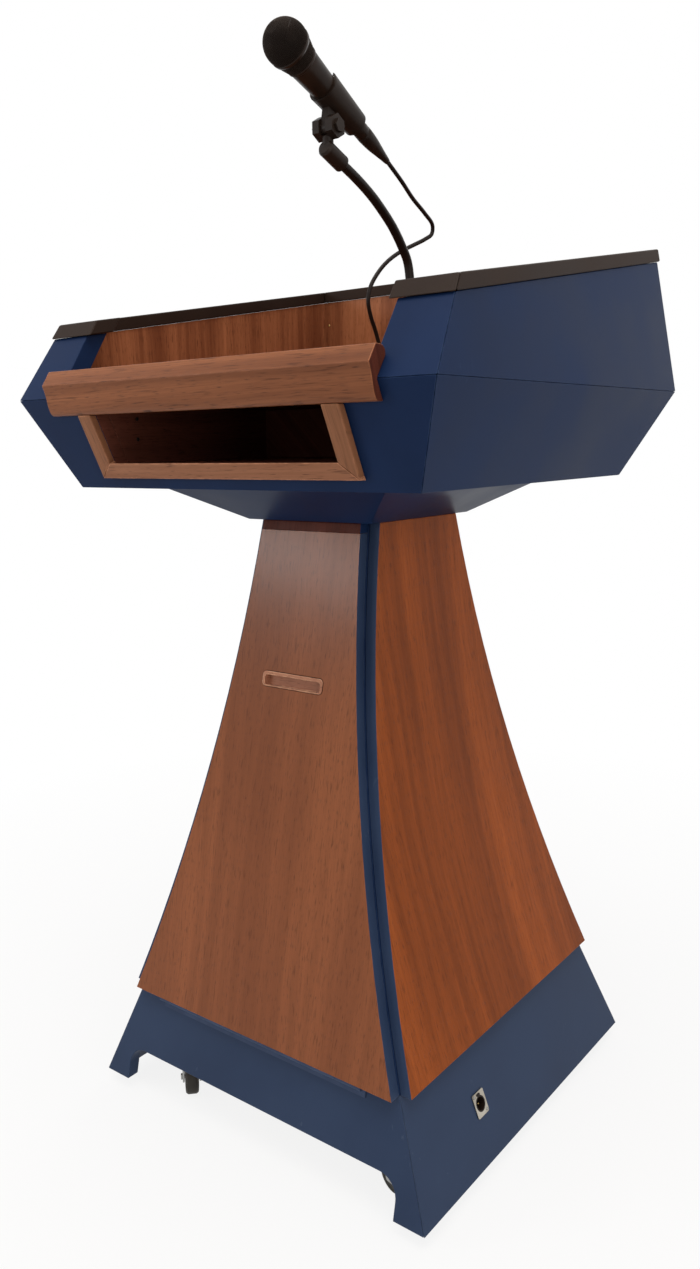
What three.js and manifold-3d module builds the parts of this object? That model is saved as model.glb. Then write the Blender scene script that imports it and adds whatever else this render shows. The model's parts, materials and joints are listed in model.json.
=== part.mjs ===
// Presentation lectern: a caster plinth, a flared column with an access door, a cabinet with a
// storage compartment and a reading well, and a microphone on a gooseneck.
// Millimetres, +Z up. The speaker stands on the -Y side and +X is on the speaker's right hand.
// The floor under the wheels is z = 0, and the origin is under the middle of the overall footprint.

import * as THREE from "three";
import { mergeVertices } from "three/addons/utils/BufferGeometryUtils.js";
import Module from "manifold-3d";

// ---------------------------------------------------------------- driving dimensions

const GAP = 0.3; // air left between pieces that touch

const plinth = {
  bottomZ: 19,
  topZ: 163.4,
  sideBottom: 285,
  sideTop: 228.8,
  faceBottom: 279.2,
  faceTop: 245.5,
  board: 18,
  footWidth: 45.6, // width of each foot beside the cut-out
  archHeight: 48.6,
  archRadius: 26,
};
const caster = {
  insetX: 107, // from the plinth's side to the swivel axis
  insetY: 72,
  trail: 24,
  wheelRadius: 25,
  wheelWidth: 20,
  boreRadius: 3.2,
  axleRadius: 3,
  height: 68,
  plateSize: 56,
  plateThickness: 2.5,
  raceRadius: 19,
  raceDepth: 8,
  crownDepth: 3,
  legThickness: 2.5,
  cornerRadius: 6,
  hubRadius: 9,
  facets: 28,
};
const baseBoardThickness = 16;
const column = {
  topZ: 839.9,
  sideTop: 84.1,
  faceTop: 93.3,
  bow: 25, // how far the side curve falls inside its straight chord
  carcass: 12,
  panel: 16,
  reveal: 1.2, // blue edge left showing beside each wooden panel
};
const door = {
  headRail: 13.5, // fixed strip above the door
  hingeLength: 360,
  hingeKnuckles: 9,
  knuckleRadius: 3,
  pinRadius: 1.4,
  leaf: 1.5,
  leafReach: 9.5, // how far the moving leaf runs in under the door
  flangeDrop: 13,
  inset: 1, // knuckle behind the door's face
};
const pull = { width: 104, height: 21, radius: 6, depth: 10, wall: 2, lip: 3, proud: 0.8, z: 630.3 };
const collar = { sideBottom: 103.1, faceBottom: 116.7, sideTop: 188, faceTop: 200, wall: 12 };
const cabinet = {
  floorZ: 888.1,
  creaseZ: 1003.7,
  sideFloor: 275.8,
  frontFloor: 261.5,
  backFloor: 250,
  sideCrease: 328.6,
  frontCrease: 313.7,
  backCrease: 316.2,
  frontTop: 259.8,
  frontTopZ: 1085.3,
  backTop: 300.7,
  backTopZ: 1180.4,
  sideTop: 301.2,
  wall: 19,
  lining: 6,
  cheek: 25,
  gapHalf: 247, // half width of the opening between the two cheeks
  floorThickness: 16,
};
const desk = { frontZ: 1022, slope: 4, thickness: 16 };
const compartment = { half: 186, bottomZ: 920.6, topZ: 990, wall: 12, depth: 270 };
const frame = { width: 23.5, bottomWidth: 19, proud: 9.5, topZ: 981.2 };
const rim = { height: 17, overhang: 3, inside: 2.5, returnHalf: 237 };
const rail = {
  half: 259,
  bottomZ: 981.6,
  proud: 14.1, // how far the ridge stands in front of the crease
  ridgeRise: 15.7,
  backRise: 23,
  topRise: 33.7,
  topProud: 2.2,
  waistDrop: 10,
  waistProud: 7.4,
};
const inlet = {
  y: -106.8,
  z: 86.1,
  width: 26,
  height: 31,
  plate: 1.6,
  holeRadius: 11.2,
  depth: 19,
  cornerRadius: 2.5,
  cupWall: 1.6,
  seat: 1.2, // the plate's lip over the hole
  pinRadius: 1.2,
  pinCircle: 4,
  pinRecess: 7,
};
const mic = {
  head: [75, -221.6, 1372.9], // centre of the ball
  tilt: 24.15, // how far the tail hangs below the head, in degrees
  ballRadius: 25.7,
  neckEnd: 30,
  taperStart: 36,
  bodyRadius: 18,
  tailRadius: 11.6,
  bodyEnd: 128,
  plugEnd: 210,
  plugRadius: 9.8,
  cordRadius: 2.7,
  sleeveStart: 70,
  sleeveEnd: 137,
  sleeveWall: 3,
  pivotAlong: 95,
  pivotBelow: 35.4,
};
const neck = { radius: 6.1, flangeRadius: 24, flangeHeight: 6, collarRadius: 11, collarHeight: 22 };
const grommet = { x: 42, y: -4, radius: 10, height: 5 };

// ---------------------------------------------------------------- solids

const wasm = await Module();
wasm.setup();

// Turns a closed geometry into a manifold, which can be joined and cut.
function solid(geometry) {
  const bare = geometry.clone();
  bare.deleteAttribute("normal");
  bare.deleteAttribute("uv");
  const merged = mergeVertices(bare, 1e-4);
  const vertProperties = new Float32Array(merged.attributes.position.array);
  const triVerts = new Uint32Array(merged.index.array);
  return new wasm.Manifold(new wasm.Mesh({ numProp: 3, vertProperties, triVerts }));
}

// Turns a manifold back into a geometry for a mesh.
function shell(manifold) {
  const mesh = manifold.getMesh();
  const geometry = new THREE.BufferGeometry();
  geometry.setAttribute("position", new THREE.BufferAttribute(mesh.vertProperties, 3));
  geometry.setIndex(new THREE.BufferAttribute(mesh.triVerts, 1));
  geometry.computeVertexNormals();
  return geometry;
}

const join = (first, ...rest) => shell(rest.reduce((sum, g) => sum.add(solid(g)), solid(first)));
const cut = (first, ...rest) => shell(rest.reduce((sum, g) => sum.subtract(solid(g)), solid(first)));
const common = (a, b) => shell(solid(a).intersect(solid(b)));

// ---------------------------------------------------------------- planes and flat boards

const unit = (n, d) => {
  const length = Math.hypot(...n);
  return { n: n.map((c) => c / length), d: d / length };
};
const X = 0;
const Y = 1;

// A plane that leans between two heights; axis is X or Y and sign says which side it faces.
function leaning(axis, sign, lowHalf, lowZ, highHalf, highZ) {
  const n = [0, 0, lowHalf - highHalf];
  n[axis] = sign * (highZ - lowZ);
  return unit(n, sign * n[axis] * lowHalf + n[2] * lowZ);
}
const level = (z) => ({ n: [0, 0, 1], d: z });
const upright = (axis, at) => ({ n: axis === X ? [1, 0, 0] : [0, 1, 0], d: at });
const moved = (plane, outward) => ({ n: plane.n, d: plane.d + outward });

// The joint plane where board a meets board b, set back by half a gap on a's side.
function mitre(a, b) {
  const n = a.n.map((c, i) => c - b.n[i]);
  const joint = unit(n, a.d - b.d);
  return moved(joint, GAP / 2);
}

// The point that three planes share.
function meet(a, b, c) {
  const matrix = new THREE.Matrix3().set(...a.n, ...b.n, ...c.n).invert();
  return new THREE.Vector3(a.d, b.d, c.d).applyMatrix3(matrix);
}

// The six-sided solid between three pairs of planes.
function board(pairA, pairB, pairC) {
  const corners = [];
  for (const a of pairA) {
    for (const b of pairB) {
      for (const c of pairC) corners.push(meet(a, b, c));
    }
  }
  const quads = [[0, 1, 3, 2], [4, 6, 7, 5], [0, 4, 5, 1], [2, 3, 7, 6], [0, 2, 6, 4], [1, 5, 7, 3]];
  const middle = corners.reduce((sum, p) => sum.add(p), new THREE.Vector3()).divideScalar(8);
  const [p, q, r] = quads[0].map((i) => corners[i].clone().sub(middle));
  const inward = p.dot(new THREE.Vector3().crossVectors(q, r)) < 0;
  const index = quads.flatMap(([a, b, c, d]) => (inward ? [a, c, b, a, d, c] : [a, b, c, a, c, d]));
  const geometry = new THREE.BufferGeometry();
  const positions = corners.flatMap((corner) => corner.toArray());
  geometry.setAttribute("position", new THREE.Float32BufferAttribute(positions, 3));
  geometry.setIndex(index);
  return geometry;
}

// ---------------------------------------------------------------- outlines and turned pieces

function outline(points) {
  return new THREE.Shape(points.map(([a, b]) => new THREE.Vector2(a, b)));
}
function roundedRectangle(width, height, radius) {
  const [w, h, r] = [width / 2, height / 2, radius];
  const shape = new THREE.Shape();
  shape.moveTo(-w + r, -h);
  shape.lineTo(w - r, -h).absarc(w - r, -h + r, r, -Math.PI / 2, 0);
  shape.lineTo(w, h - r).absarc(w - r, h - r, r, 0, Math.PI / 2);
  shape.lineTo(-w + r, h).absarc(-w + r, h - r, r, Math.PI / 2, Math.PI);
  shape.lineTo(-w, -h + r).absarc(-w + r, -h + r, r, Math.PI, 1.5 * Math.PI);
  return shape;
}
function extrude(shape, depth, curveSegments = 5) {
  return new THREE.ExtrudeGeometry(shape, { depth, bevelEnabled: false, curveSegments });
}
// An outline drawn in X and Z, run along Y.
function alongY(shape, from, to) {
  return extrude(shape, to - from).rotateX(Math.PI / 2).translate(0, to, 0);
}
// An outline drawn in Y and Z, run along X.
function alongX(shape, from, to, curveSegments = 5) {
  const basis = new THREE.Matrix4().makeBasis(
    new THREE.Vector3(0, 1, 0), new THREE.Vector3(0, 0, 1), new THREE.Vector3(1, 0, 0));
  return extrude(shape, to - from, curveSegments).applyMatrix4(basis).translate(from, 0, 0);
}
// A profile of [radius, height] points turned about Z.
function turned(profile, segments = 24) {
  return new THREE.LatheGeometry(profile.map(([r, h]) => new THREE.Vector2(r, h)), segments)
    .rotateX(Math.PI / 2);
}
function rod(radius, from, to, segments = 20) {
  return turned([[0, from], [radius, from], [radius, to], [0, to]], segments);
}
function tube(radius, points, steps, sides) {
  const section = new THREE.Shape();
  section.absarc(0, 0, radius, 0, 2 * Math.PI);
  const path = new THREE.CatmullRomCurve3(points.map((p) => new THREE.Vector3(...p)));
  return new THREE.ExtrudeGeometry(section, {
    steps, extrudePath: path, bevelEnabled: false, curveSegments: sides,
  });
}

// ---------------------------------------------------------------- the assembly

const lectern = new THREE.Group();

const finishes = {
  blue: { color: 0x2a3f66, roughness: 0.42, metalness: 0 },
  wood: { color: 0x7b442c, roughness: 0.45, metalness: 0 },
  railWood: { color: 0x8c5a46, roughness: 0.45, metalness: 0 },
  darkWood: { color: 0x3a2420, roughness: 0.6, metalness: 0 },
  rim: { color: 0x2b2826, roughness: 0.55, metalness: 0 },
  board: { color: 0x6d5a48, roughness: 0.8, metalness: 0 },
  steel: { color: 0x9c9c9c, roughness: 0.35, metalness: 0.9 },
  tyre: { color: 0x4a4846, roughness: 0.7, metalness: 0 },
  black: { color: 0x1d1b1a, roughness: 0.5, metalness: 0 },
  mesh: { color: 0x2c2928, roughness: 0.45, metalness: 0.6 },
};

function part(name, geometry, finish, parent = lectern) {
  const mesh = new THREE.Mesh(geometry, new THREE.MeshStandardMaterial(finishes[finish]));
  mesh.name = name;
  parent.add(mesh);
  return mesh;
}
function group(parent, position, rotation = [0, 0, 0]) {
  const child = new THREE.Group();
  child.position.set(...position);
  child.rotation.set(...rotation);
  parent.add(child);
  return child;
}
const degrees = THREE.MathUtils.degToRad;

// A group on a leaning face: its X runs level, its Y up the face and its Z straight out of it.
function onFace(plane, x, y, z) {
  const outward = new THREE.Vector3(...plane.n);
  const across = new THREE.Vector3(0, 0, 1).cross(outward).normalize();
  const up = new THREE.Vector3().crossVectors(outward, across);
  const child = group(lectern, [x, y, z]);
  child.quaternion.setFromRotationMatrix(new THREE.Matrix4().makeBasis(across, up, outward));
  child.updateMatrixWorld(true);
  return child;
}
const faceY = (plane, z) => (plane.d - plane.n[2] * z) / plane.n[1];
const faceX = (plane, z) => (plane.d - plane.n[2] * z) / plane.n[0];

// ---------------------------------------------------------------- plinth

const plinthFace = (axis, sign) => {
  const [low, high] = axis === X
    ? [plinth.sideBottom, plinth.sideTop] : [plinth.faceBottom, plinth.faceTop];
  return leaning(axis, sign, low, plinth.bottomZ, high, plinth.topZ);
};
const plinthFront = plinthFace(Y, -1);
const plinthBack = plinthFace(Y, 1);
const plinthLeft = plinthFace(X, -1);
const plinthRight = plinthFace(X, 1);
const plinthLevels = [level(plinth.bottomZ), level(plinth.topZ)];
const shelledBy = (face, thickness) => [face, moved(face, -thickness)];

function archCutter() {
  const half = plinth.sideBottom - plinth.footWidth;
  const top = plinth.bottomZ + plinth.archHeight;
  const r = plinth.archRadius;
  const shape = new THREE.Shape();
  shape.moveTo(-half, plinth.bottomZ - 10);
  shape.lineTo(half, plinth.bottomZ - 10);
  shape.lineTo(half, top - r).absarc(half - r, top - r, r, 0, Math.PI / 2);
  shape.lineTo(-half + r, top).absarc(-half + r, top - r, r, Math.PI / 2, Math.PI);
  return alongY(shape, -plinth.faceBottom - 20, plinth.faceBottom + 20);
}
const arch = archCutter();
for (const [name, face] of [["plinth_speaker_board", plinthFront], ["plinth_audience_board", plinthBack]]) {
  const ends = [mitre(face, plinthLeft), mitre(face, plinthRight)];
  part(name, cut(board(shelledBy(face, plinth.board), plinthLevels, ends), arch), "blue");
}
const plinthEnds = (face) => [mitre(face, plinthFront), mitre(face, plinthBack)];
part("plinth_left_board",
  board(shelledBy(plinthLeft, plinth.board), plinthLevels, plinthEnds(plinthLeft)), "blue");

const inletFace = onFace(plinthRight, faceX(plinthRight, inlet.z), inlet.y, inlet.z);
const inletHole = rod(inlet.holeRadius + GAP, -plinth.board - 5, 5).applyMatrix4(inletFace.matrixWorld);
const rightBoard = board(shelledBy(plinthRight, plinth.board), plinthLevels, plinthEnds(plinthRight));
part("plinth_right_board", cut(rightBoard, inletHole), "blue");

const baseZ = caster.height + GAP;
const insidePlinth = (a, b) => [moved(a, -plinth.board - GAP), moved(b, -plinth.board - GAP)];
// The base board carries the casters and is notched where the inlet's body comes through.
const baseBoard = board(
  [level(baseZ), level(baseZ + baseBoardThickness)],
  insidePlinth(plinthFront, plinthBack),
  insidePlinth(plinthLeft, plinthRight));
const inletRoom = rod(inlet.holeRadius + 4, -inlet.depth - 6, 0).applyMatrix4(inletFace.matrixWorld);
part("base_board", cut(baseBoard, inletRoom), "board");

// ---------------------------------------------------------------- microphone inlet on the plinth

function inletPlate() {
  const plate = extrude(roundedRectangle(inlet.width, inlet.height, inlet.cornerRadius), inlet.plate);
  return cut(plate, rod(inlet.holeRadius - inlet.seat + GAP, -1, inlet.plate + 1));
}
function inletSocket() {
  const r = inlet.holeRadius - inlet.seat;
  const inner = r - inlet.cupWall;
  const cup = turned([
    [0, -inlet.depth], [r, -inlet.depth], [r, inlet.plate], [inner, inlet.plate],
    [inner, 2 - inlet.depth], [0, 2 - inlet.depth],
  ]);
  const pins = [90, 210, 330].map((angle) => {
    const a = degrees(angle);
    return rod(inlet.pinRadius, 1 - inlet.depth, -inlet.pinRecess, 8)
      .translate(inlet.pinCircle * Math.cos(a), inlet.pinCircle * Math.sin(a), 0);
  });
  return join(cup, ...pins);
}
part("inlet_plate", inletPlate(), "steel", inletFace).position.z = GAP;
part("inlet_socket", inletSocket(), "black", inletFace).position.z = GAP;

// ---------------------------------------------------------------- casters

function casterPlate() {
  const top = caster.height;
  const square = roundedRectangle(caster.plateSize, caster.plateSize, caster.cornerRadius);
  const plate = extrude(square, caster.plateThickness).translate(0, 0, top - caster.plateThickness);
  return join(plate, rod(caster.raceRadius, top - caster.raceDepth, top - 1));
}
function casterFork() {
  const top = caster.height - caster.raceDepth - GAP;
  const axleZ = caster.wheelRadius;
  const inner = caster.wheelWidth / 2 + 1;
  const crown = rod(caster.raceRadius, top - caster.crownDepth, top);
  const leg = outline([
    [-caster.raceRadius + 3, top - 1], [caster.raceRadius, top - 1],
    [caster.trail + 8, axleZ + 3], [caster.trail + 5, axleZ - 7], [caster.trail - 5, axleZ - 7],
    [caster.trail - 10, axleZ + 3],
  ]);
  const legs = [-1, 1].map((side) => {
    const at = side * (inner + caster.legThickness / 2) + caster.legThickness / 2;
    return extrude(leg, caster.legThickness).rotateX(Math.PI / 2).translate(0, at, 0);
  });
  const reach = inner + caster.legThickness + 2;
  const axle = rod(caster.axleRadius, -reach, reach, 16).rotateX(Math.PI / 2)
    .translate(caster.trail, 0, axleZ);
  return join(crown, ...legs, axle);
}
// The tread has flat facets, and one of them lies on the floor.
function casterWheel() {
  const r = caster.wheelRadius / Math.cos(Math.PI / caster.facets);
  const w = caster.wheelWidth / 2;
  const hub = caster.hubRadius;
  return turned([
    [caster.boreRadius, -w], [hub - 1, -w], [hub, -w + 2], [r - 6, -w + 2], [r - 5, -w + 0.5],
    [r - 2, -w + 1], [r, -w + 4], [r, w - 4], [r - 2, w - 1], [r - 5, w - 0.5], [r - 6, w - 2],
    [hub, w - 2], [hub - 1, w], [caster.boreRadius, w], [caster.boreRadius, -w],
  ], caster.facets).rotateZ(Math.PI / caster.facets).rotateX(Math.PI / 2);
}
// Corner signs and the angle each wheel has trailed round to.
const corners = [
  ["speaker_left", -1, -1, -45],
  ["speaker_right", 1, -1, -15],
  ["audience_left", -1, 1, 12],
  ["audience_right", 1, 1, -18],
];
for (const [name, signX, signY, angle] of corners) {
  const x = signX * (plinth.sideBottom - caster.insetX);
  const y = signY * (plinth.faceBottom - caster.insetY);
  const station = group(lectern, [x, y, 0]);
  part(`caster_plate_${name}`, casterPlate(), "steel", station);
  const swivel = group(station, [0, 0, 0], [0, 0, degrees(angle)]);
  part(`caster_fork_${name}`, casterFork(), "steel", swivel);
  part(`caster_wheel_${name}`, casterWheel(), "tyre", swivel)
    .position.set(caster.trail, 0, caster.wheelRadius);
}

// ---------------------------------------------------------------- column

const columnFace = (sign) =>
  leaning(Y, sign, plinth.faceTop, plinth.topZ, column.faceTop, column.topZ);
const columnFront = columnFace(-1);
const columnBack = columnFace(1);
const columnLow = plinth.topZ + GAP;
const columnHigh = column.topZ - GAP;

// Half width of the column at a height: a straight taper that a shallow curve falls inside.
function halfWidth(z, outward) {
  const t = (z - plinth.topZ) / (column.topZ - plinth.topZ);
  const chord = plinth.sideTop + (column.sideTop - plinth.sideTop) * t;
  return chord - 4 * column.bow * t * (1 - t) + outward;
}
function flare(outward, lowZ, highZ, steps = 14) {
  const points = [];
  for (let i = 0; i <= steps; i += 1) {
    const z = lowZ + (highZ - lowZ) * i / steps;
    points.push([halfWidth(z, outward), z]);
  }
  return points;
}
// The whole width of the column between its two curved sides.
function columnSlice(outward, lowZ, highZ) {
  const right = flare(outward, lowZ, highZ);
  const left = right.map(([x, z]) => [-x, z]).reverse();
  return alongY(outline([...right, ...left]), -plinth.faceBottom, plinth.faceBottom);
}
// A bent board on one side, between two offsets from the curve and two leaning planes.
function bentBoard(sign, inner, outer, endMargin) {
  const strip = [...flare(outer, columnLow, columnHigh), ...flare(inner, columnLow, columnHigh).reverse()];
  const run = alongY(outline(strip.map(([x, z]) => [sign * x, z])), -plinth.faceBottom, plinth.faceBottom);
  const reach = plinth.sideBottom * 2;
  const wedge = board(
    [moved(columnFront, -endMargin), moved(columnBack, -endMargin)],
    [level(plinth.bottomZ), level(column.topZ + 10)],
    [upright(X, -reach), upright(X, reach)]);
  return common(run, wedge);
}
for (const [name, sign] of [["left", -1], ["right", 1]]) {
  part(`column_${name}_side`, bentBoard(sign, -column.carcass, 0, 0), "blue");
  part(`column_${name}_panel`, bentBoard(sign, GAP, GAP + column.panel, column.reveal), "wood");
}
const everyWidth = [upright(X, -plinth.sideBottom), upright(X, plinth.sideBottom)];
function facePanel(face, lowZ, highZ) {
  const sheet = board(
    [moved(face, GAP), moved(face, GAP + column.panel)], [level(lowZ), level(highZ)], everyWidth);
  return common(sheet, columnSlice(-column.reveal, lowZ - 5, highZ + 5));
}
part("column_audience_panel", facePanel(columnBack, columnLow, columnHigh), "wood");

const doorHigh = column.topZ - door.headRail;
part("door_head_rail", facePanel(columnFront, doorHigh + GAP, columnHigh), "darkWood");

const pullZ = pull.z;
const pullFace = moved(columnFront, GAP + column.panel);
const pullGroup = onFace(pullFace, 0, faceY(pullFace, pullZ), pullZ);
const pullHole = extrude(roundedRectangle(pull.width, pull.height, pull.radius), column.panel + 8)
  .translate(0, 0, -column.panel - 4).applyMatrix4(pullGroup.matrixWorld);
part("access_door", cut(facePanel(columnFront, columnLow, doorHigh), pullHole), "wood");

function pullCup() {
  const inset = pull.wall;
  const rim = roundedRectangle(pull.width - 2 * GAP, pull.height - 2 * GAP, pull.radius - GAP);
  const body = extrude(rim, pull.depth + pull.proud).translate(0, 0, -pull.depth);
  const mouth = roundedRectangle(
    pull.width - 4 * inset, pull.height - 2 * inset - pull.lip, pull.radius - inset);
  const hollow = extrude(mouth, pull.depth + 5).translate(0, -pull.lip / 2, -pull.depth + inset);
  return cut(body, hollow);
}
part("door_pull", pullCup(), "railWood", pullGroup);

// ---------------------------------------------------------------- door hinge

const doorFace = moved(columnFront, GAP + column.panel);
const hingeZ = columnLow - GAP - door.knuckleRadius;
const hingeY = faceY(doorFace, columnLow) + door.knuckleRadius + door.inset;

function knuckles(parity, radius) {
  const length = door.hingeLength / door.hingeKnuckles;
  const pieces = [];
  for (let i = parity; i < door.hingeKnuckles; i += 2) {
    const from = -door.hingeLength / 2 + i * length + GAP / 2;
    pieces.push(rod(radius, from, from + length - GAP, 16).rotateY(Math.PI / 2)
      .translate(0, hingeY, hingeZ));
  }
  return pieces;
}
const hingeSpan = [upright(X, -door.hingeLength / 2), upright(X, door.hingeLength / 2)];
function flatLeaf(lowZ, highZ, innerY) {
  return board([level(lowZ), level(highZ)], [upright(Y, hingeY), upright(Y, innerY)], hingeSpan);
}
const knuckleRoom = (parity) => knuckles(parity, door.knuckleRadius + GAP);
function fixedLeaf() {
  const low = hingeZ - door.knuckleRadius;
  const shelf = flatLeaf(low, low + door.leaf, faceY(plinthFront, low) - GAP - 0.2);
  const flange = board(
    [moved(plinthFront, GAP), moved(plinthFront, GAP + door.leaf)],
    [level(low - door.flangeDrop), level(low + door.leaf)], hingeSpan);
  const pin = rod(door.pinRadius, -door.hingeLength / 2 + 1, door.hingeLength / 2 - 1, 12)
    .rotateY(Math.PI / 2).translate(0, hingeY, hingeZ);
  const plate = cut(join(shelf, flange), ...knuckleRoom(1));
  return join(plate, ...knuckles(0, door.knuckleRadius), pin);
}
function movingLeaf() {
  const high = hingeZ + door.knuckleRadius;
  const plate = cut(flatLeaf(high - door.leaf, high, hingeY + door.leafReach), ...knuckleRoom(0));
  const bore = rod(door.pinRadius + 0.2, -door.hingeLength, door.hingeLength, 16)
    .rotateY(Math.PI / 2).translate(0, hingeY, hingeZ);
  return cut(join(plate, ...knuckles(1, door.knuckleRadius)), bore);
}
part("hinge_fixed_leaf", fixedLeaf(), "steel");
part("hinge_door_leaf", movingLeaf(), "steel");

// ---------------------------------------------------------------- collar

function collarTray() {
  const faces = (shrink) => [
    [X, -1, collar.sideBottom, collar.sideTop], [X, 1, collar.sideBottom, collar.sideTop],
    [Y, -1, collar.faceBottom, collar.faceTop], [Y, 1, collar.faceBottom, collar.faceTop],
  ].map(([axis, sign, low, high]) =>
    moved(leaning(axis, sign, low, column.topZ, high, cabinet.floorZ), -shrink));
  const block = (shrink, lowZ, highZ) => {
    const [left, right, front, back] = faces(shrink);
    return board([level(lowZ), level(highZ)], [left, right], [front, back]);
  };
  const outer = block(0, column.topZ + GAP, cabinet.floorZ - GAP);
  return cut(outer, block(collar.wall, column.topZ + collar.wall, cabinet.floorZ + 5));
}
part("collar", collarTray(), "blue");

// ---------------------------------------------------------------- cabinet

const lowerFace = (axis, sign, floor, crease) =>
  leaning(axis, sign, floor, cabinet.floorZ, crease, cabinet.creaseZ);
const lower = {
  left: lowerFace(X, -1, cabinet.sideFloor, cabinet.sideCrease),
  right: lowerFace(X, 1, cabinet.sideFloor, cabinet.sideCrease),
  front: lowerFace(Y, -1, cabinet.frontFloor, cabinet.frontCrease),
  back: lowerFace(Y, 1, cabinet.backFloor, cabinet.backCrease),
};
const upperFace = (axis, sign, crease, top, topZ) =>
  leaning(axis, sign, crease, cabinet.creaseZ, top, topZ);
const upper = {
  left: upperFace(X, -1, cabinet.sideCrease, cabinet.sideTop, cabinet.backTopZ),
  right: upperFace(X, 1, cabinet.sideCrease, cabinet.sideTop, cabinet.backTopZ),
  front: upperFace(Y, -1, cabinet.frontCrease, cabinet.frontTop, cabinet.frontTopZ),
  back: upperFace(Y, 1, cabinet.backCrease, cabinet.backTop, cabinet.backTopZ),
};
const topRun = cabinet.backTop + cabinet.frontTop;
const topRise = cabinet.backTopZ - cabinet.frontTopZ;
const wallTop = unit([0, -topRise, topRun], topRise * cabinet.frontTop + topRun * cabinet.frontTopZ);

const neighbours = {
  left: ["front", "back"], right: ["front", "back"], front: ["left", "right"], back: ["left", "right"],
};
function lowerBoard(side) {
  const face = lower[side];
  const ends = neighbours[side].map((other) => mitre(face, lower[other]));
  return board(
    shelledBy(face, cabinet.wall), [level(cabinet.floorZ), level(cabinet.creaseZ - GAP / 2)], ends);
}
function upperBoard(side) {
  const face = upper[side];
  const ends = neighbours[side].map((other) => mitre(face, upper[other]));
  return board(shelledBy(face, cabinet.wall), [level(cabinet.creaseZ + GAP / 2), wallTop], ends);
}
part("cabinet_left_lower_board", lowerBoard("left"), "blue");
part("cabinet_right_lower_board", lowerBoard("right"), "blue");
part("cabinet_audience_lower_board", lowerBoard("back"), "blue");

function compartmentMouth(margin) {
  return board(
    [upright(Y, -cabinet.frontCrease - 20), upright(Y, 0)],
    [level(compartment.bottomZ - margin), level(compartment.topZ + margin)],
    [upright(X, -compartment.half - margin), upright(X, compartment.half + margin)]);
}
part("cabinet_speaker_lower_board", cut(lowerBoard("front"), compartmentMouth(0)), "blue");
part("cabinet_left_upper_wall", upperBoard("left"), "blue");
part("cabinet_right_upper_wall", upperBoard("right"), "blue");
part("cabinet_audience_upper_wall", upperBoard("back"), "blue");

function cheek(side, sign) {
  const face = upper.front;
  const innerEdge = upright(X, sign * cabinet.gapHalf);
  return board(
    shelledBy(face, cabinet.cheek), [level(cabinet.creaseZ + GAP / 2), wallTop],
    [innerEdge, mitre(face, upper[side])]);
}
part("left_cheek", cheek("left", -1), "blue");
part("right_cheek", cheek("right", 1), "blue");

const inside = (a, b, thickness) => [moved(a, -thickness - GAP), moved(b, -thickness - GAP)];
part("cabinet_floor", board(
  [level(cabinet.floorZ), level(cabinet.floorZ + cabinet.floorThickness)],
  inside(lower.left, lower.right, cabinet.wall), inside(lower.front, lower.back, cabinet.wall)), "board");

// ---------------------------------------------------------------- storage compartment and its frame

function storageBox() {
  const { half, bottomZ, topZ, wall, depth } = compartment;
  const mouth = moved(lower.front, -cabinet.wall - GAP);
  const backY = -cabinet.frontFloor + cabinet.wall + depth;
  const outer = board(
    [mouth, upright(Y, backY)], [level(bottomZ - wall), level(topZ + wall)],
    [upright(X, -half - wall), upright(X, half + wall)]);
  const hollow = board(
    [upright(Y, -cabinet.frontCrease), upright(Y, backY - wall)], [level(bottomZ), level(topZ)],
    [upright(X, -half), upright(X, half)]);
  return cut(outer, hollow);
}
part("storage_box", storageBox(), "darkWood");

const frameFace = [moved(lower.front, GAP), moved(lower.front, GAP + frame.proud)];
function openingFrame() {
  const half = compartment.half - GAP;
  const ring = (margin, lowZ, highZ) => board(
    frameFace, [level(lowZ), level(highZ)], [upright(X, -half - margin), upright(X, half + margin)]);
  const outer = ring(frame.width, compartment.bottomZ - frame.bottomWidth, frame.topZ);
  const hole = board(
    [upright(Y, -cabinet.frontCrease - 40), upright(Y, 0)],
    [level(compartment.bottomZ), level(compartment.topZ)], [upright(X, -half), upright(X, half)]);
  return cut(outer, hole);
}
part("compartment_frame", openingFrame(), "railWood");

// ---------------------------------------------------------------- book rail over the crease

function railOutline() {
  const low = moved(lower.front, GAP);
  const high = moved(upper.front, GAP);
  const crease = cabinet.creaseZ;
  const front = -cabinet.frontCrease;
  const backZ = crease + rail.backRise;
  const shape = new THREE.Shape();
  shape.moveTo(faceY(low, rail.bottomZ), rail.bottomZ);
  shape.lineTo(front - GAP - 0.2, crease);
  shape.lineTo(faceY(high, backZ), backZ);
  shape.quadraticCurveTo(
    faceY(high, backZ) - 1, crease + rail.topRise - 0.7, front - rail.topProud, crease + rail.topRise);
  shape.lineTo(front - rail.proud, crease + rail.ridgeRise);
  shape.quadraticCurveTo(
    front - rail.waistProud + 1, crease + 2, front - rail.waistProud, crease - rail.waistDrop);
  shape.lineTo(front + 0.2, rail.bottomZ);
  return shape;
}
part("book_rail", alongX(railOutline(), -rail.half, rail.half), "railWood");

// ---------------------------------------------------------------- reading surface and lining

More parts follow.
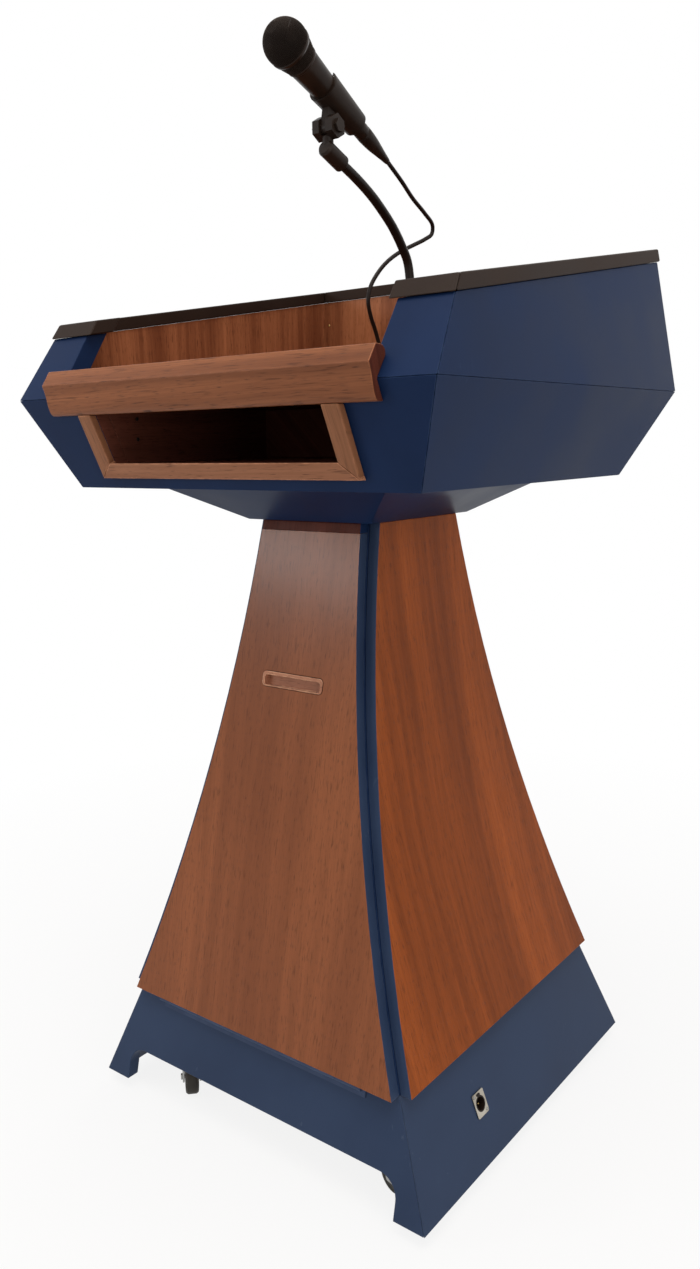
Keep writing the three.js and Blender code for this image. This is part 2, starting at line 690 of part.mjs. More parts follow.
const deskRise = Math.tan(degrees(desk.slope));
const deskTop = unit([0, -deskRise, 1], desk.frontZ + deskRise * cabinet.frontCrease);
const deskZ = (y) => desk.frontZ + deskRise * (y + cabinet.frontCrease);
const deskSlab = [deskTop, moved(deskTop, -desk.thickness)];
const insideSides = [
  moved(upper.left, -cabinet.wall - cabinet.lining - 2 * GAP),
  moved(upper.right, -cabinet.wall - cabinet.lining - 2 * GAP),
];
function readingSurface() {
  const back = moved(upper.back, -cabinet.wall - cabinet.lining - 2 * GAP);
  const main = board([moved(upper.front, -cabinet.cheek - GAP), back], deskSlab, insideSides);
  const lip = board(
    [moved(upper.front, -GAP), upright(Y, -cabinet.frontCrease / 2)], deskSlab,
    [upright(X, GAP - cabinet.gapHalf), upright(X, cabinet.gapHalf - GAP)]);
  const hole = rod(grommet.radius - 2 + GAP, -80, 80, 16).translate(grommet.x, grommet.y, deskZ(grommet.y));
  return cut(join(main, lip), hole);
}
part("reading_surface", readingSurface(), "wood");

function wellLining() {
  const wall = cabinet.wall + GAP;
  const low = moved(deskTop, -desk.thickness);
  const front = moved(upper.front, -cabinet.cheek - GAP);
  const outerBack = moved(upper.back, -wall);
  const innerBack = moved(upper.back, -wall - cabinet.lining);
  const ends = [moved(upper.left, -wall), moved(upper.right, -wall)];
  const inner = [moved(upper.left, -wall - cabinet.lining), moved(upper.right, -wall - cabinet.lining)];
  const outer = board([front, outerBack], [low, wallTop], ends);
  const hollow = board([upright(Y, -cabinet.frontCrease - 50), innerBack], [level(900), level(1400)], inner);
  return cut(outer, hollow);
}
part("well_lining", wellLining(), "wood");

// ---------------------------------------------------------------- rim on the wall tops

const rimLevels = [moved(wallTop, GAP), moved(wallTop, GAP + rim.height)];
function rimPiece(side, ends) {
  const face = upper[side];
  const thickness = cabinet.wall + cabinet.lining + rim.inside;
  return board([moved(face, rim.overhang), moved(face, -thickness)], rimLevels, ends);
}
for (const [name, side] of [["left", "left"], ["right", "right"], ["audience", "back"]]) {
  const ends = neighbours[side].map((other) => mitre(upper[side], upper[other]));
  part(`rim_${name}`, rimPiece(side, ends), "rim");
}
for (const [name, sign] of [["left", -1], ["right", 1]]) {
  const ends = [upright(X, sign * rim.returnHalf), mitre(upper.front, upper[name])];
  part(`rim_${name}_return`, rimPiece("front", ends), "rim");
}

// ---------------------------------------------------------------- gooseneck

const neckFoot = [mic.head[0], 20, deskZ(20)];
function neckFlange() {
  const { flangeRadius, flangeHeight, collarRadius, collarHeight } = neck;
  const bore = neck.radius + GAP;
  const body = turned([
    [bore, 0], [flangeRadius, 0], [flangeRadius, flangeHeight - 2], [flangeRadius - 2, flangeHeight],
    [collarRadius + 2, flangeHeight + 1], [collarRadius, flangeHeight + 4],
    [collarRadius, collarHeight - 1], [collarRadius - 1, collarHeight], [bore, collarHeight], [bore, 0],
  ]);
  return body;
}
const flangeGroup = group(lectern, [neckFoot[0], neckFoot[1], neckFoot[2] + GAP], [degrees(desk.slope), 0, 0]);
part("neck_flange", neckFlange(), "black", flangeGroup);

// The neck stands square to the sloping surface inside its flange, then follows the bend it was left in.
const neckRise = [GAP, neck.collarHeight / 2, neck.collarHeight + 4].map((height) => [
  neckFoot[0],
  neckFoot[1] - Math.sin(degrees(desk.slope)) * height,
  neckFoot[2] + Math.cos(degrees(desk.slope)) * height,
]);
const neckRoute = [
  ...neckRise, [75, 18.2, 1100], [75, 18.8, 1130], [75, 17.2, 1156.4],
  [75, 12.1, 1174.6], [75, 1.9, 1187.5], [75, -7.1, 1198], [75, -23.6, 1213.4], [75, -44.1, 1228],
  [75, -65.1, 1241], [75, -93.6, 1254.6], [75, -124, 1266.5],
];
part("gooseneck", tube(neck.radius, neckRoute, 34, 6), "black");

// ---------------------------------------------------------------- microphone, in its own axis

// Along the microphone, +Z runs from the head to the tail and +Y points to its underside.
const micGroup = group(lectern, mic.head, [-Math.PI / 2 - degrees(mic.tilt), 0, 0]);
micGroup.updateMatrixWorld(true);
const pivot = new THREE.Vector3(0, mic.pivotBelow, mic.pivotAlong).applyMatrix4(micGroup.matrixWorld);

function bodyRadiusAt(along) {
  const t = (along - mic.taperStart) / (mic.bodyEnd - mic.taperStart);
  return mic.bodyRadius + (mic.tailRadius - mic.bodyRadius) * t;
}
function grilleBall() {
  const r = mic.ballRadius;
  const profile = [[0, -r + 1.2], [7, -r + 1.6]];
  for (let a = -62; a <= 24; a += 10.75) {
    profile.push([r * Math.cos(degrees(a)), r * Math.sin(degrees(a))]);
  }
  const seam = mic.bodyRadius + 1;
  profile.push([seam, mic.neckEnd - 3], [seam, mic.neckEnd - GAP], [0, mic.neckEnd - GAP]);
  return turned(profile, 28);
}
function micBody() {
  return turned([
    [0, mic.neckEnd], [mic.bodyRadius, mic.neckEnd], [mic.bodyRadius, mic.taperStart],
    [bodyRadiusAt(mic.bodyEnd), mic.bodyEnd], [8.6, mic.bodyEnd + 1], [8.6, mic.sleeveEnd - 3],
    [0, mic.sleeveEnd - 3],
  ]);
}
const switchAlong = 58;
const switchSeat = bodyRadiusAt(switchAlong) - 2.2;
function switchPocket(margin, length) {
  return new THREE.BoxGeometry(6 + 2 * margin, 8, length + 2 * margin)
    .translate(0, -switchSeat - 4, switchAlong);
}
part("mic_grille", grilleBall(), "mesh", micGroup);
part("mic_body", cut(micBody(), switchPocket(GAP, 14)), "black", micGroup);
part("mic_switch", new THREE.BoxGeometry(6, 3, 8).translate(0, -switchSeat - GAP - 1.5, switchAlong - 2.5),
  "black", micGroup);

function plugBody() {
  const start = mic.sleeveEnd - 3 + GAP;
  const r = mic.plugRadius;
  return turned([
    [0, start], [r, start], [r, start + 24], [r - 0.6, start + 34], [r - 2.2, start + 48],
    [r - 4.2, start + 60], [mic.cordRadius + 1.6, mic.plugEnd - 1], [mic.cordRadius + 1, mic.plugEnd],
    [0, mic.plugEnd],
  ], 20);
}
part("mic_plug", plugBody(), "black", micGroup);

// The sleeve grips the tapered body and is open on top; its tongue drops into the swivel block.
const tongue = { thickness: 9.4, radius: 9 };
const block = { width: 29, flats: 24, slot: 10, boltRadius: 2.9, headRadius: 8, headHeight: 3.5 };
function clipSleeve() {
  const { sleeveStart: from, sleeveEnd: to, sleeveWall } = mic;
  const innerFrom = bodyRadiusAt(from) + GAP;
  const innerTo = bodyRadiusAt(Math.min(to, mic.bodyEnd)) + GAP;
  const outerFrom = innerFrom + sleeveWall;
  const outerTo = innerTo + sleeveWall;
  const ring = turned([[innerFrom, from], [outerFrom, from], [outerTo, to], [innerTo, to], [innerFrom, from]]);
  const slot = new THREE.BoxGeometry(outerFrom * 1.1, outerFrom * 2, 2 * (to - from))
    .translate(0, -outerFrom * 1.45, (from + to) / 2);
  const open = cut(ring, slot);
  const root = innerTo + 1.5;
  const web = outline([
    [mic.pivotBelow, mic.pivotAlong + tongue.radius], [root, mic.pivotAlong + 14],
    [root, mic.pivotAlong - 14], [mic.pivotBelow, mic.pivotAlong - tongue.radius],
  ]);
  const plate = alongX(web, -tongue.thickness / 2, tongue.thickness / 2);
  const eye = rod(tongue.radius, -tongue.thickness / 2, tongue.thickness / 2)
    .rotateY(Math.PI / 2).translate(0, mic.pivotBelow, mic.pivotAlong);
  const bore = rod(block.boltRadius + GAP, -block.width, block.width, 16).rotateY(Math.PI / 2)
    .translate(0, mic.pivotBelow, mic.pivotAlong);
  const micRoom = turned([
    [0, from - 5], [innerFrom, from - 5], [innerFrom, from], [innerTo, to], [innerTo, to + 5], [0, to + 5],
  ]);
  return cut(join(open, plate, eye), bore, micRoom);
}
part("mic_clip", clipSleeve(), "black", micGroup);

function clipBolt() {
  const half = block.width / 2 + GAP;
  const bolt = rod(block.boltRadius, -half - 1, half + 1, 16);
  const head = rod(block.headRadius, half, half + block.headHeight, 6);
  const nut = rod(block.headRadius, -half - block.headHeight, -half, 6);
  return join(bolt, head, nut).rotateY(Math.PI / 2).translate(pivot.x, pivot.y, pivot.z);
}
function swivelBlock() {
  const corner = block.flats / 2 / Math.cos(Math.PI / 6);
  const hexagon = new THREE.CylinderGeometry(corner, corner, block.width, 6)
    .rotateZ(Math.PI / 2).translate(pivot.x, pivot.y, pivot.z);
  const slot = board(
    [upright(X, pivot.x - block.slot / 2), upright(X, pivot.x + block.slot / 2)],
    [upright(Y, pivot.y - 40), upright(Y, pivot.y + 40)],
    [level(pivot.z - tongue.radius - GAP), level(pivot.z + 40)]);
  const end = new THREE.Vector3(...neckRoute.at(-1));
  const before = new THREE.Vector3(...neckRoute.at(-2));
  const along = end.clone().sub(before).normalize();
  const barrel = turned([[0, 0], [9, 0], [10, 1], [10, 33], [8, 36], [0, 37]], 20);
  barrel.applyQuaternion(new THREE.Quaternion().setFromUnitVectors(new THREE.Vector3(0, 0, 1), along));
  barrel.translate(...end.clone().addScaledVector(along, GAP).toArray());
  const stalkTop = pivot.z - tongue.radius - 1;
  const stalk = rod(6.5, end.z + 8, stalkTop, 16).translate(pivot.x, pivot.y - 1, 0);
  return join(cut(hexagon, slot), stalk, barrel, clipBolt());
}
part("swivel_block", swivelBlock(), "black");

// ---------------------------------------------------------------- microphone cable

const plugTip = new THREE.Vector3(0, 0, mic.plugEnd + GAP).applyMatrix4(micGroup.matrixWorld);
const grommetTop = deskZ(grommet.y) + grommet.height;
function cableGrommet() {
  const bore = mic.cordRadius + GAP;
  const r = grommet.radius;
  return turned([
    [bore, -desk.thickness], [r - 2, -desk.thickness], [r - 2, 0], [r, 0], [r, 1.5],
    [bore + 2, grommet.height - 1], [bore, grommet.height - 0.5], [bore, -desk.thickness],
  ], 20);
}
const grommetGroup = group(lectern, [grommet.x, grommet.y, deskZ(grommet.y) + GAP + 0.8]);
part("cable_grommet", cableGrommet(), "black", grommetGroup);

const cableRoute = [
  [42, -4, grommetTop - 3], [42, -6, 1062], [41.5, -14, 1084], [42, -26, 1104], [43.5, -33, 1122],
  [45, -30, 1139], [47, -16, 1158], [49, 4, 1175], [52, 32, 1191], [56, 57, 1202],
  [60, 78, 1211.5], [63, 90, 1219.5], [65.5, 88, 1230], [69, 63, 1241.5], [72, 30, 1254.5],
  [74.4, 2, 1269.5], plugTip.toArray(),
];
part("mic_cable", tube(mic.cordRadius, cableRoute, 64, 4), "black");

// The rail reaches further forward than the cabinet reaches back, so the whole model is moved until
// its origin lies under the middle of its overall depth.
lectern.position.y = (cabinet.frontCrease + rail.proud - cabinet.backCrease) / 2;

export default lectern;
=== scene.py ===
# %% [markdown]
# # A presentation lectern, dressed around its imported parts
#
# The imported model gives every part at its real size, in metres, with +Z up. The speaker stands on
# the -Y side. This lesson leaves those parts where they are and gives them their looks: eased edges,
# veneer, blue laminate, wire mesh and cable. It begins by loading the frame.

# %% Load the frame
import json
import math

import bmesh
import bpy
from mathutils import Matrix, Vector


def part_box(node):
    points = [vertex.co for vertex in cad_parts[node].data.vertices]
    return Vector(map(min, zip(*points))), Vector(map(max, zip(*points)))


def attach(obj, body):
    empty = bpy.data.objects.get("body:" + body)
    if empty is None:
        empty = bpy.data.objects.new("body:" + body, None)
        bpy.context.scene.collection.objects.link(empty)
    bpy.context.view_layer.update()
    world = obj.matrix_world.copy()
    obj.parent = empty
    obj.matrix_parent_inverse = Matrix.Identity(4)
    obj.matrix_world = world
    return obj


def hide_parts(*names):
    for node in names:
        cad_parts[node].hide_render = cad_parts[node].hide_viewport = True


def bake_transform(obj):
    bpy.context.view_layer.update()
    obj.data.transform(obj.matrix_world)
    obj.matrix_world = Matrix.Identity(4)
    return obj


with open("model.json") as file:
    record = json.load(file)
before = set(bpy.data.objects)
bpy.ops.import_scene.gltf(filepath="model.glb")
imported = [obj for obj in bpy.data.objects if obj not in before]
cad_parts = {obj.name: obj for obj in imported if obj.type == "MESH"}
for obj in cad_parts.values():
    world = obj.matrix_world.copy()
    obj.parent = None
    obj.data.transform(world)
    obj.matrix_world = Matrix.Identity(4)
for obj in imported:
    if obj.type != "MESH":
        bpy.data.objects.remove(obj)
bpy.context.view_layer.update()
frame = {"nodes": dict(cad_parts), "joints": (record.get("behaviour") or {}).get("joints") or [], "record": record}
joints = {joint["name"]: joint for joint in frame["joints"]}
body_of_node = {
    node: body for body, members in frame["record"]["behaviour"]["bodies"].items() for node in members
}
slot_of_node = {row["node"]: row["material_slot"] for row in frame["record"]["subparts"]}
MM = 0.001

# %% [markdown]
# ## The camera
#
# The view is from the speaker's right, at chest height, close enough for the upright lines to lean.
# A camera could be aimed with a Track To constraint, but writing its three axes from yaw, pitch and roll
# shows exactly where it looks. The lens is a moderate wide angle and there is no shift.

# %% Camera
CAMERA_PLACE = Vector((0.8631, -1.1460, 0.9433))
YAW, PITCH, ROLL = math.radians(37.556), math.radians(10.769), math.radians(-1.116)
LENS, SENSOR = 28.88, 36

forward = Vector((-math.sin(YAW) * math.cos(PITCH), math.cos(YAW) * math.cos(PITCH), -math.sin(PITCH)))
level_right = Vector((math.cos(YAW), math.sin(YAW), 0))
level_up = level_right.cross(forward)
camera_right = level_right * math.cos(ROLL) + level_up * math.sin(ROLL)
camera_up = level_up * math.cos(ROLL) - level_right * math.sin(ROLL)

camera_data = bpy.data.cameras.new("camera")
camera_data.sensor_width = SENSOR
camera_data.lens = LENS
camera = bpy.data.objects.new("camera", camera_data)
bpy.context.scene.collection.objects.link(camera)
turn = Matrix((camera_right, camera_up, -forward)).transposed().to_4x4()
camera.matrix_world = Matrix.Translation(CAMERA_PLACE) @ turn
bpy.context.scene.camera = camera
print("lens", round(camera_data.lens, 2), "mm")

# %% [markdown]
# ## The microphone cable
#
# A microphone lead is a limp rubber-covered cord about 5.4 mm thick. Here it rises out of a grommet in
# the reading surface, swings back past the gooseneck, makes one tight bend and runs up to the plug in the
# microphone's tail. The route is a list of given points. A smooth curve runs through them, and a round
# section is carried along it, so the cable is a mesh.

# %% Tools that make meshes
def new_piece(name, vertices, faces, smooth=True):
    mesh = bpy.data.meshes.new(name)
    mesh.from_pydata([tuple(v) for v in vertices], [], faces)
    mesh.validate()
    for polygon in mesh.polygons:
        polygon.use_smooth = smooth
    piece = bpy.data.objects.new(name, mesh)
    bpy.context.scene.collection.objects.link(piece)
    return piece


def point_outward(piece):
    """Turns every face of a closed mesh to look outward."""
    shape = bmesh.new()
    shape.from_mesh(piece.data)
    bmesh.ops.recalc_face_normals(shape, faces=shape.faces)
    shape.to_mesh(piece.data)
    shape.free()
    return piece


def drum_faces(count):
    """The sides and both ends of a solid whose first and second rings have this many points."""
    sides = [(i, (i + 1) % count, count + (i + 1) % count, count + i) for i in range(count)]
    return [*sides, tuple(reversed(range(count))), tuple(range(count, 2 * count))]


def smooth_route(points, steps):
    """Centripetal Catmull-Rom points through a list, so that close points don't make loops."""
    ends = [points[0] * 2 - points[1], *points, points[-1] * 2 - points[-2]]
    route = []
    for p0, p1, p2, p3 in zip(ends, ends[1:], ends[2:], ends[3:]):
        t0 = 0
        t1 = t0 + (p1 - p0).length ** 0.5
        t2 = t1 + (p2 - p1).length ** 0.5
        t3 = t2 + (p3 - p2).length ** 0.5
        for i in range(steps):
            t = t1 + (t2 - t1) * i / steps
            a1 = p0.lerp(p1, (t - t0) / (t1 - t0))
            a2 = p1.lerp(p2, (t - t1) / (t2 - t1))
            a3 = p2.lerp(p3, (t - t2) / (t3 - t2))
            b1 = a1.lerp(a2, (t - t0) / (t2 - t0))
            b2 = a2.lerp(a3, (t - t1) / (t3 - t1))
            route.append(b1.lerp(b2, (t - t1) / (t2 - t1)))
    return [*route, points[-1].copy()]


def tube_piece(name, route, radius, sides):
    """A closed round tube along a route."""
    side = Vector((1, 0, 0))
    vertices, faces = [], []
    for i, point in enumerate(route):
        ahead = (route[min(i + 1, len(route) - 1)] - route[max(i - 1, 0)]).normalized()
        side = (side - ahead * side.dot(ahead)).normalized()
        other = ahead.cross(side)
        for k in range(sides):
            angle = 2 * math.pi * k / sides
            vertices.append(point + (side * math.cos(angle) + other * math.sin(angle)) * radius)
    for i in range(len(route) - 1):
        for k in range(sides):
            a, b = i * sides + k, i * sides + (k + 1) % sides
            faces.append((a, b, b + sides, a + sides))
    faces.append(tuple(reversed(range(sides))))
    faces.append(tuple(range(len(vertices) - sides, len(vertices))))
    return new_piece(name, vertices, faces)


# %% Where the microphone is
clip_pivot = Vector(joints["clip_tilt"]["pos_m"])
mic_along = Vector(joints["switch_slide"]["axis"]).normalized()  # from the head to the tail
mic_under = mic_along.cross(Vector((1, 0, 0)))
PIVOT_ALONG, PIVOT_BELOW = 0.095, 0.0354
mic_head = clip_pivot - mic_along * PIVOT_ALONG - mic_under * PIVOT_BELOW
PLUG_END = 0.2103
mic_frame = Matrix.Translation(mic_head) @ Matrix(
    (Vector((1, 0, 0)), mic_under, mic_along)).transposed().to_4x4()
print("microphone head", [round(v, 4) for v in mic_head])

# %% Cable
CABLE_DIAMETER = 0.0054
cable_points = [
    (0.042, 0.0018, 1.04566), (0.042, -0.0002, 1.062), (0.0415, -0.0082, 1.084),
    (0.042, -0.0202, 1.104), (0.0435, -0.0272, 1.122), (0.045, -0.0242, 1.139),
    (0.047, -0.0102, 1.158), (0.049, 0.0098, 1.175), (0.052, 0.0378, 1.191),
    (0.056, 0.0628, 1.202), (0.060, 0.0838, 1.2115), (0.063, 0.0958, 1.2195),
    (0.0655, 0.0938, 1.230), (0.069, 0.0688, 1.2415), (0.072, 0.0358, 1.2545),
    (0.0744, 0.0078, 1.2695),
]
cable_route = smooth_route([*map(Vector, cable_points), mic_head + mic_along * PLUG_END], 10)
cable = tube_piece("cable", cable_route, CABLE_DIAMETER / 2, sides=16)
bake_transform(cable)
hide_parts("mic_cable")

# %% [markdown]
# ## Floor, backdrop and lamps
#
# The object stands on a plain pale floor under plain soft light. The world is a low even grey as light,
# and white only where the camera or a reflection sees it, so the background is white and the object isn't
# overexposed. The floor mixes white into what the camera sees, more of it further away, and keeps a soft
# shadow near the object. Four area lamps stand for ceiling light, for a low window on the speaker's left
# that makes the sheen on the door, for a little light from behind and for a fill on the right.

# %% Studio
def shader_tools(tree):
    """Short helpers to add a node and to join two sockets."""
    def add(kind, **settings):
        node = tree.nodes.new(kind)
        for key, value in settings.items():
            setattr(node, key, value)
        return node
    return add, tree.links.new


def seen_by_camera(tree):
    """1 for camera, glossy and transmission rays, 0 for the light that falls on surfaces."""
    add, join = shader_tools(tree)
    rays = add("ShaderNodeLightPath")
    first = add("ShaderNodeMath", operation="MAXIMUM")
    second = add("ShaderNodeMath", operation="MAXIMUM")
    join(rays.outputs["Is Camera Ray"], first.inputs[0])
    join(rays.outputs["Is Glossy Ray"], first.inputs[1])
    join(first.outputs[0], second.inputs[0])
    join(rays.outputs["Is Transmission Ray"], second.inputs[1])
    return second.outputs[0]


world = bpy.data.worlds.new("studio")
bpy.context.scene.world = world
world.use_nodes = True
world.node_tree.nodes.clear()
add, join = shader_tools(world.node_tree)
even_light = add("ShaderNodeBackground")
even_light.inputs["Color"].default_value = (1.0, 0.97, 0.94, 1)
even_light.inputs["Strength"].default_value = 0.42
white_view = add("ShaderNodeBackground")
white_view.inputs["Color"].default_value = (1, 1, 1, 1)
white_view.inputs["Strength"].default_value = 1.0
chooser = add("ShaderNodeMixShader")
join(seen_by_camera(world.node_tree), chooser.inputs[0])
join(even_light.outputs[0], chooser.inputs[1])
join(white_view.outputs[0], chooser.inputs[2])
join(chooser.outputs[0], add("ShaderNodeOutputWorld").inputs["Surface"])


def area_lamp(name, place, aim, width, height, power, colour=(1, 1, 1)):
    lamp_data = bpy.data.lights.new(name, "AREA")
    lamp_data.shape = "RECTANGLE"
    lamp_data.size, lamp_data.size_y = width, height
    lamp_data.energy = power
    lamp_data.color = colour
    lamp = bpy.data.objects.new(name, lamp_data)
    lamp.location = place
    lamp.rotation_euler = (Vector(aim) - Vector(place)).to_track_quat("-Z", "Y").to_euler()
    bpy.context.scene.collection.objects.link(lamp)


area_lamp("ceiling_lamp", (0.3, -0.6, 3.2), (0, 0, 0.9), 2.4, 2.4, 62, (1.0, 0.97, 0.93))
area_lamp("window_lamp", (-1.75, -2.15, 1.42), (0, -0.1, 0.85), 0.9, 0.2, 13, (0.95, 0.98, 1.0))
area_lamp("back_lamp", (-0.8, 3.2, 1.7), (0, 0, 0.7), 2.0, 1.6, 22, (1.0, 0.97, 0.94))
area_lamp("fill_lamp", (2.9, -1.2, 1.5), (0, 0, 0.7), 1.8, 1.8, 24, (1.0, 0.95, 0.9))

FLOOR_REACH = 8
floor_corners = [(x * FLOOR_REACH, y * FLOOR_REACH, 0) for x, y in ((-1, -1), (1, -1), (1, 1), (-1, 1))]
floor = new_piece("floor", floor_corners, [(0, 1, 2, 3)], smooth=False)
floor_material = bpy.data.materials.new("pale_floor")
floor_material.use_nodes = True
floor_material.node_tree.nodes.clear()
add, join = shader_tools(floor_material.node_tree)
matt = add("ShaderNodeBsdfDiffuse")
matt.inputs["Color"].default_value = (0.8, 0.79, 0.78, 1)
glow = add("ShaderNodeEmission")
glow.inputs["Color"].default_value = (1, 1, 1, 1)
FLOOR_WHITENESS, SHADOW_FROM, SHADOW_TO = 0.86, 0.4, 1.7  # the last two are distances from the middle
far_off = add("ShaderNodeVectorMath", operation="LENGTH")
join(add("ShaderNodeNewGeometry").outputs["Position"], far_off.inputs[0])
whiteness = add("ShaderNodeMapRange")
whiteness.inputs["From Min"].default_value = SHADOW_FROM
whiteness.inputs["From Max"].default_value = SHADOW_TO
whiteness.inputs["To Min"].default_value = FLOOR_WHITENESS
join(far_off.outputs["Value"], whiteness.inputs["Value"])
share = add("ShaderNodeMath", operation="MULTIPLY")
join(whiteness.outputs[0], share.inputs[1])
join(seen_by_camera(floor_material.node_tree), share.inputs[0])
floor_mix = add("ShaderNodeMixShader")
join(share.outputs[0], floor_mix.inputs[0])
join(matt.outputs[0], floor_mix.inputs[1])
join(glow.outputs[0], floor_mix.inputs[2])
join(floor_mix.outputs[0], add("ShaderNodeOutputMaterial").inputs["Surface"])
floor.data.materials.append(floor_material)
bpy.context.scene.view_settings.view_transform = "Standard"

# %% [markdown]
# ## Shared effects
#
# Three effects come back in several finishes, so each is a shader node group. Wood figure makes veneer:
# broad soft bands, fine fibres, short dark pores and longer flecks, all stretched along the grain. Edge wear
# and highlight finds the arrises by comparing the true normal with one that is rounded off by the Bevel
# node; the paler arrises that it gives are wear, and on solid wood also a painted highlight. Mottle and
# scuffs breaks up a painted or laminated surface. A group gives only colours, masks and heights, and each
# material keeps its own shader.

# %% Group helpers
def colour(red, green, blue):
    """A colour written as on a colour card, 0 to 255, turned into the linear values of a shader."""
    def channel(c):
        c /= 255
        return c / 12.92 if c <= 0.04045 else ((c + 0.055) / 1.055) ** 2.4
    return (channel(red), channel(green), channel(blue), 1)


def effect_group(name, inputs, outputs):
    tree = bpy.data.node_groups.new(name, "ShaderNodeTree")
    for label, kind, default in inputs:
        socket = tree.interface.new_socket(name=label, in_out="INPUT", socket_type=kind)
        if default is not None:
            socket.default_value = default
    for label, kind in outputs:
        tree.interface.new_socket(name=label, in_out="OUTPUT", socket_type=kind)
    entry = tree.nodes.new("NodeGroupInput")
    leave = tree.nodes.new("NodeGroupOutput")
    return tree, entry, leave


def math_node(tree, operation, a, b):
    node = tree.nodes.new("ShaderNodeMath")
    node.operation = operation
    for i, value in enumerate((a, b)):
        if isinstance(value, (int, float)):
            node.inputs[i].default_value = value
        else:
            tree.links.new(value, node.inputs[i])
    return node.outputs[0]


def mix_colours(tree, share, a, b):
    node = tree.nodes.new("ShaderNodeMix")
    node.data_type = "RGBA"
    for socket, value in zip((node.inputs[0], node.inputs[6], node.inputs[7]), (share, a, b)):
        if isinstance(value, (int, float, tuple)):
            socket.default_value = value
        else:
            tree.links.new(value, socket)
    return node.outputs[2]


def stretched(tree, vector, scale, shift=(0, 0, 0)):
    node = tree.nodes.new("ShaderNodeMapping")
    node.inputs["Scale"].default_value = scale
    node.inputs["Location"].default_value = shift
    tree.links.new(vector, node.inputs["Vector"])
    return node.outputs[0]


def noise(tree, vector, detail=2, roughness=0.5, distortion=0):
    node = tree.nodes.new("ShaderNodeTexNoise")
    node.inputs["Scale"].default_value = 1
    node.inputs["Detail"].default_value = detail
    node.inputs["Roughness"].default_value = roughness
    node.inputs["Distortion"].default_value = distortion
    tree.links.new(vector, node.inputs["Vector"])
    return node.outputs["Fac"]


def remap(tree, value, low, high, to_low=0.0, to_high=1.0):
    node = tree.nodes.new("ShaderNodeMapRange")
    node.interpolation_type = "SMOOTHSTEP"
    for label, number in (("From Min", low), ("From Max", high), ("To Min", to_low), ("To Max", to_high)):
        node.inputs[label].default_value = number
    tree.links.new(value, node.inputs["Value"])
    return node.outputs[0]


# %% Wood figure
def make_wood_figure():
    tree, entry, leave = effect_group(
        "wood figure",
        [("Grain Position", "NodeSocketVector", None), ("Light", "NodeSocketColor", None),
         ("Dark", "NodeSocketColor", None), ("Pore", "NodeSocketColor", None)],
        [("Color", "NodeSocketColor"), ("Roughness", "NodeSocketFloat"), ("Height", "NodeSocketFloat")])
    place = entry.outputs["Grain Position"]
    waver = noise(tree, stretched(tree, place, (9, 9, 2.2)), 2)
    push = tree.nodes.new("ShaderNodeCombineXYZ")
    sway = math_node(tree, "MULTIPLY", math_node(tree, "SUBTRACT", waver, 0.5), 0.035)
    tree.links.new(sway, push.inputs[0])
    shifted = tree.nodes.new("ShaderNodeVectorMath")
    shifted.operation = "ADD"
    tree.links.new(place, shifted.inputs[0])
    tree.links.new(push.outputs[0], shifted.inputs[1])
    bent = shifted.outputs[0]
    broad = noise(tree, stretched(tree, bent, (17, 17, 0.7)), 2, 0.55)
    narrow = noise(tree, stretched(tree, bent, (75, 75, 1.3), (3, 0, 1)), 3, 0.6)
    fibre = noise(tree, stretched(tree, bent, (520, 520, 14), (0, 2, 0)), 2, 0.6)
    cloud = noise(tree, stretched(tree, place, (5, 5, 3.5), (7, 0, 0)), 1)
    bands = math_node(tree, "ADD", math_node(tree, "MULTIPLY", remap(tree, broad, 0.34, 0.66), 0.5),
                      math_node(tree, "MULTIPLY", remap(tree, narrow, 0.3, 0.7), 0.32))
    bands = math_node(tree, "ADD", bands, math_node(tree, "MULTIPLY", remap(tree, cloud, 0.3, 0.7), 0.18))
    ground = mix_colours(tree, bands, entry.outputs["Dark"], entry.outputs["Light"])
    fibred = mix_colours(tree, remap(tree, fibre, 0.35, 0.7, 0.0, 0.34), ground, entry.outputs["Dark"])
    dashes = noise(tree, stretched(tree, bent, (1250, 1250, 95), (0, 0, 5)), 1, 0.4)
    pores = remap(tree, dashes, 0.62, 0.74)
    pitted = mix_colours(tree, math_node(tree, "MULTIPLY", pores, 0.75), fibred, entry.outputs["Pore"])
    flecks = noise(tree, stretched(tree, bent, (430, 430, 42), (2, 0, 8)), 2, 0.5)
    final = mix_colours(tree, remap(tree, flecks, 0.56, 0.7, 0.0, 0.42), pitted, entry.outputs["Pore"])
    tree.links.new(final, leave.inputs["Color"])
    tree.links.new(remap(tree, fibre, 0.2, 0.8, 0.3, 0.46), leave.inputs["Roughness"])
    height = math_node(tree, "SUBTRACT", math_node(tree, "MULTIPLY", fibre, 0.4), pores)
    tree.links.new(height, leave.inputs["Height"])
    return tree


wood_figure = make_wood_figure()
print("group", wood_figure.name, len(wood_figure.nodes), "nodes")

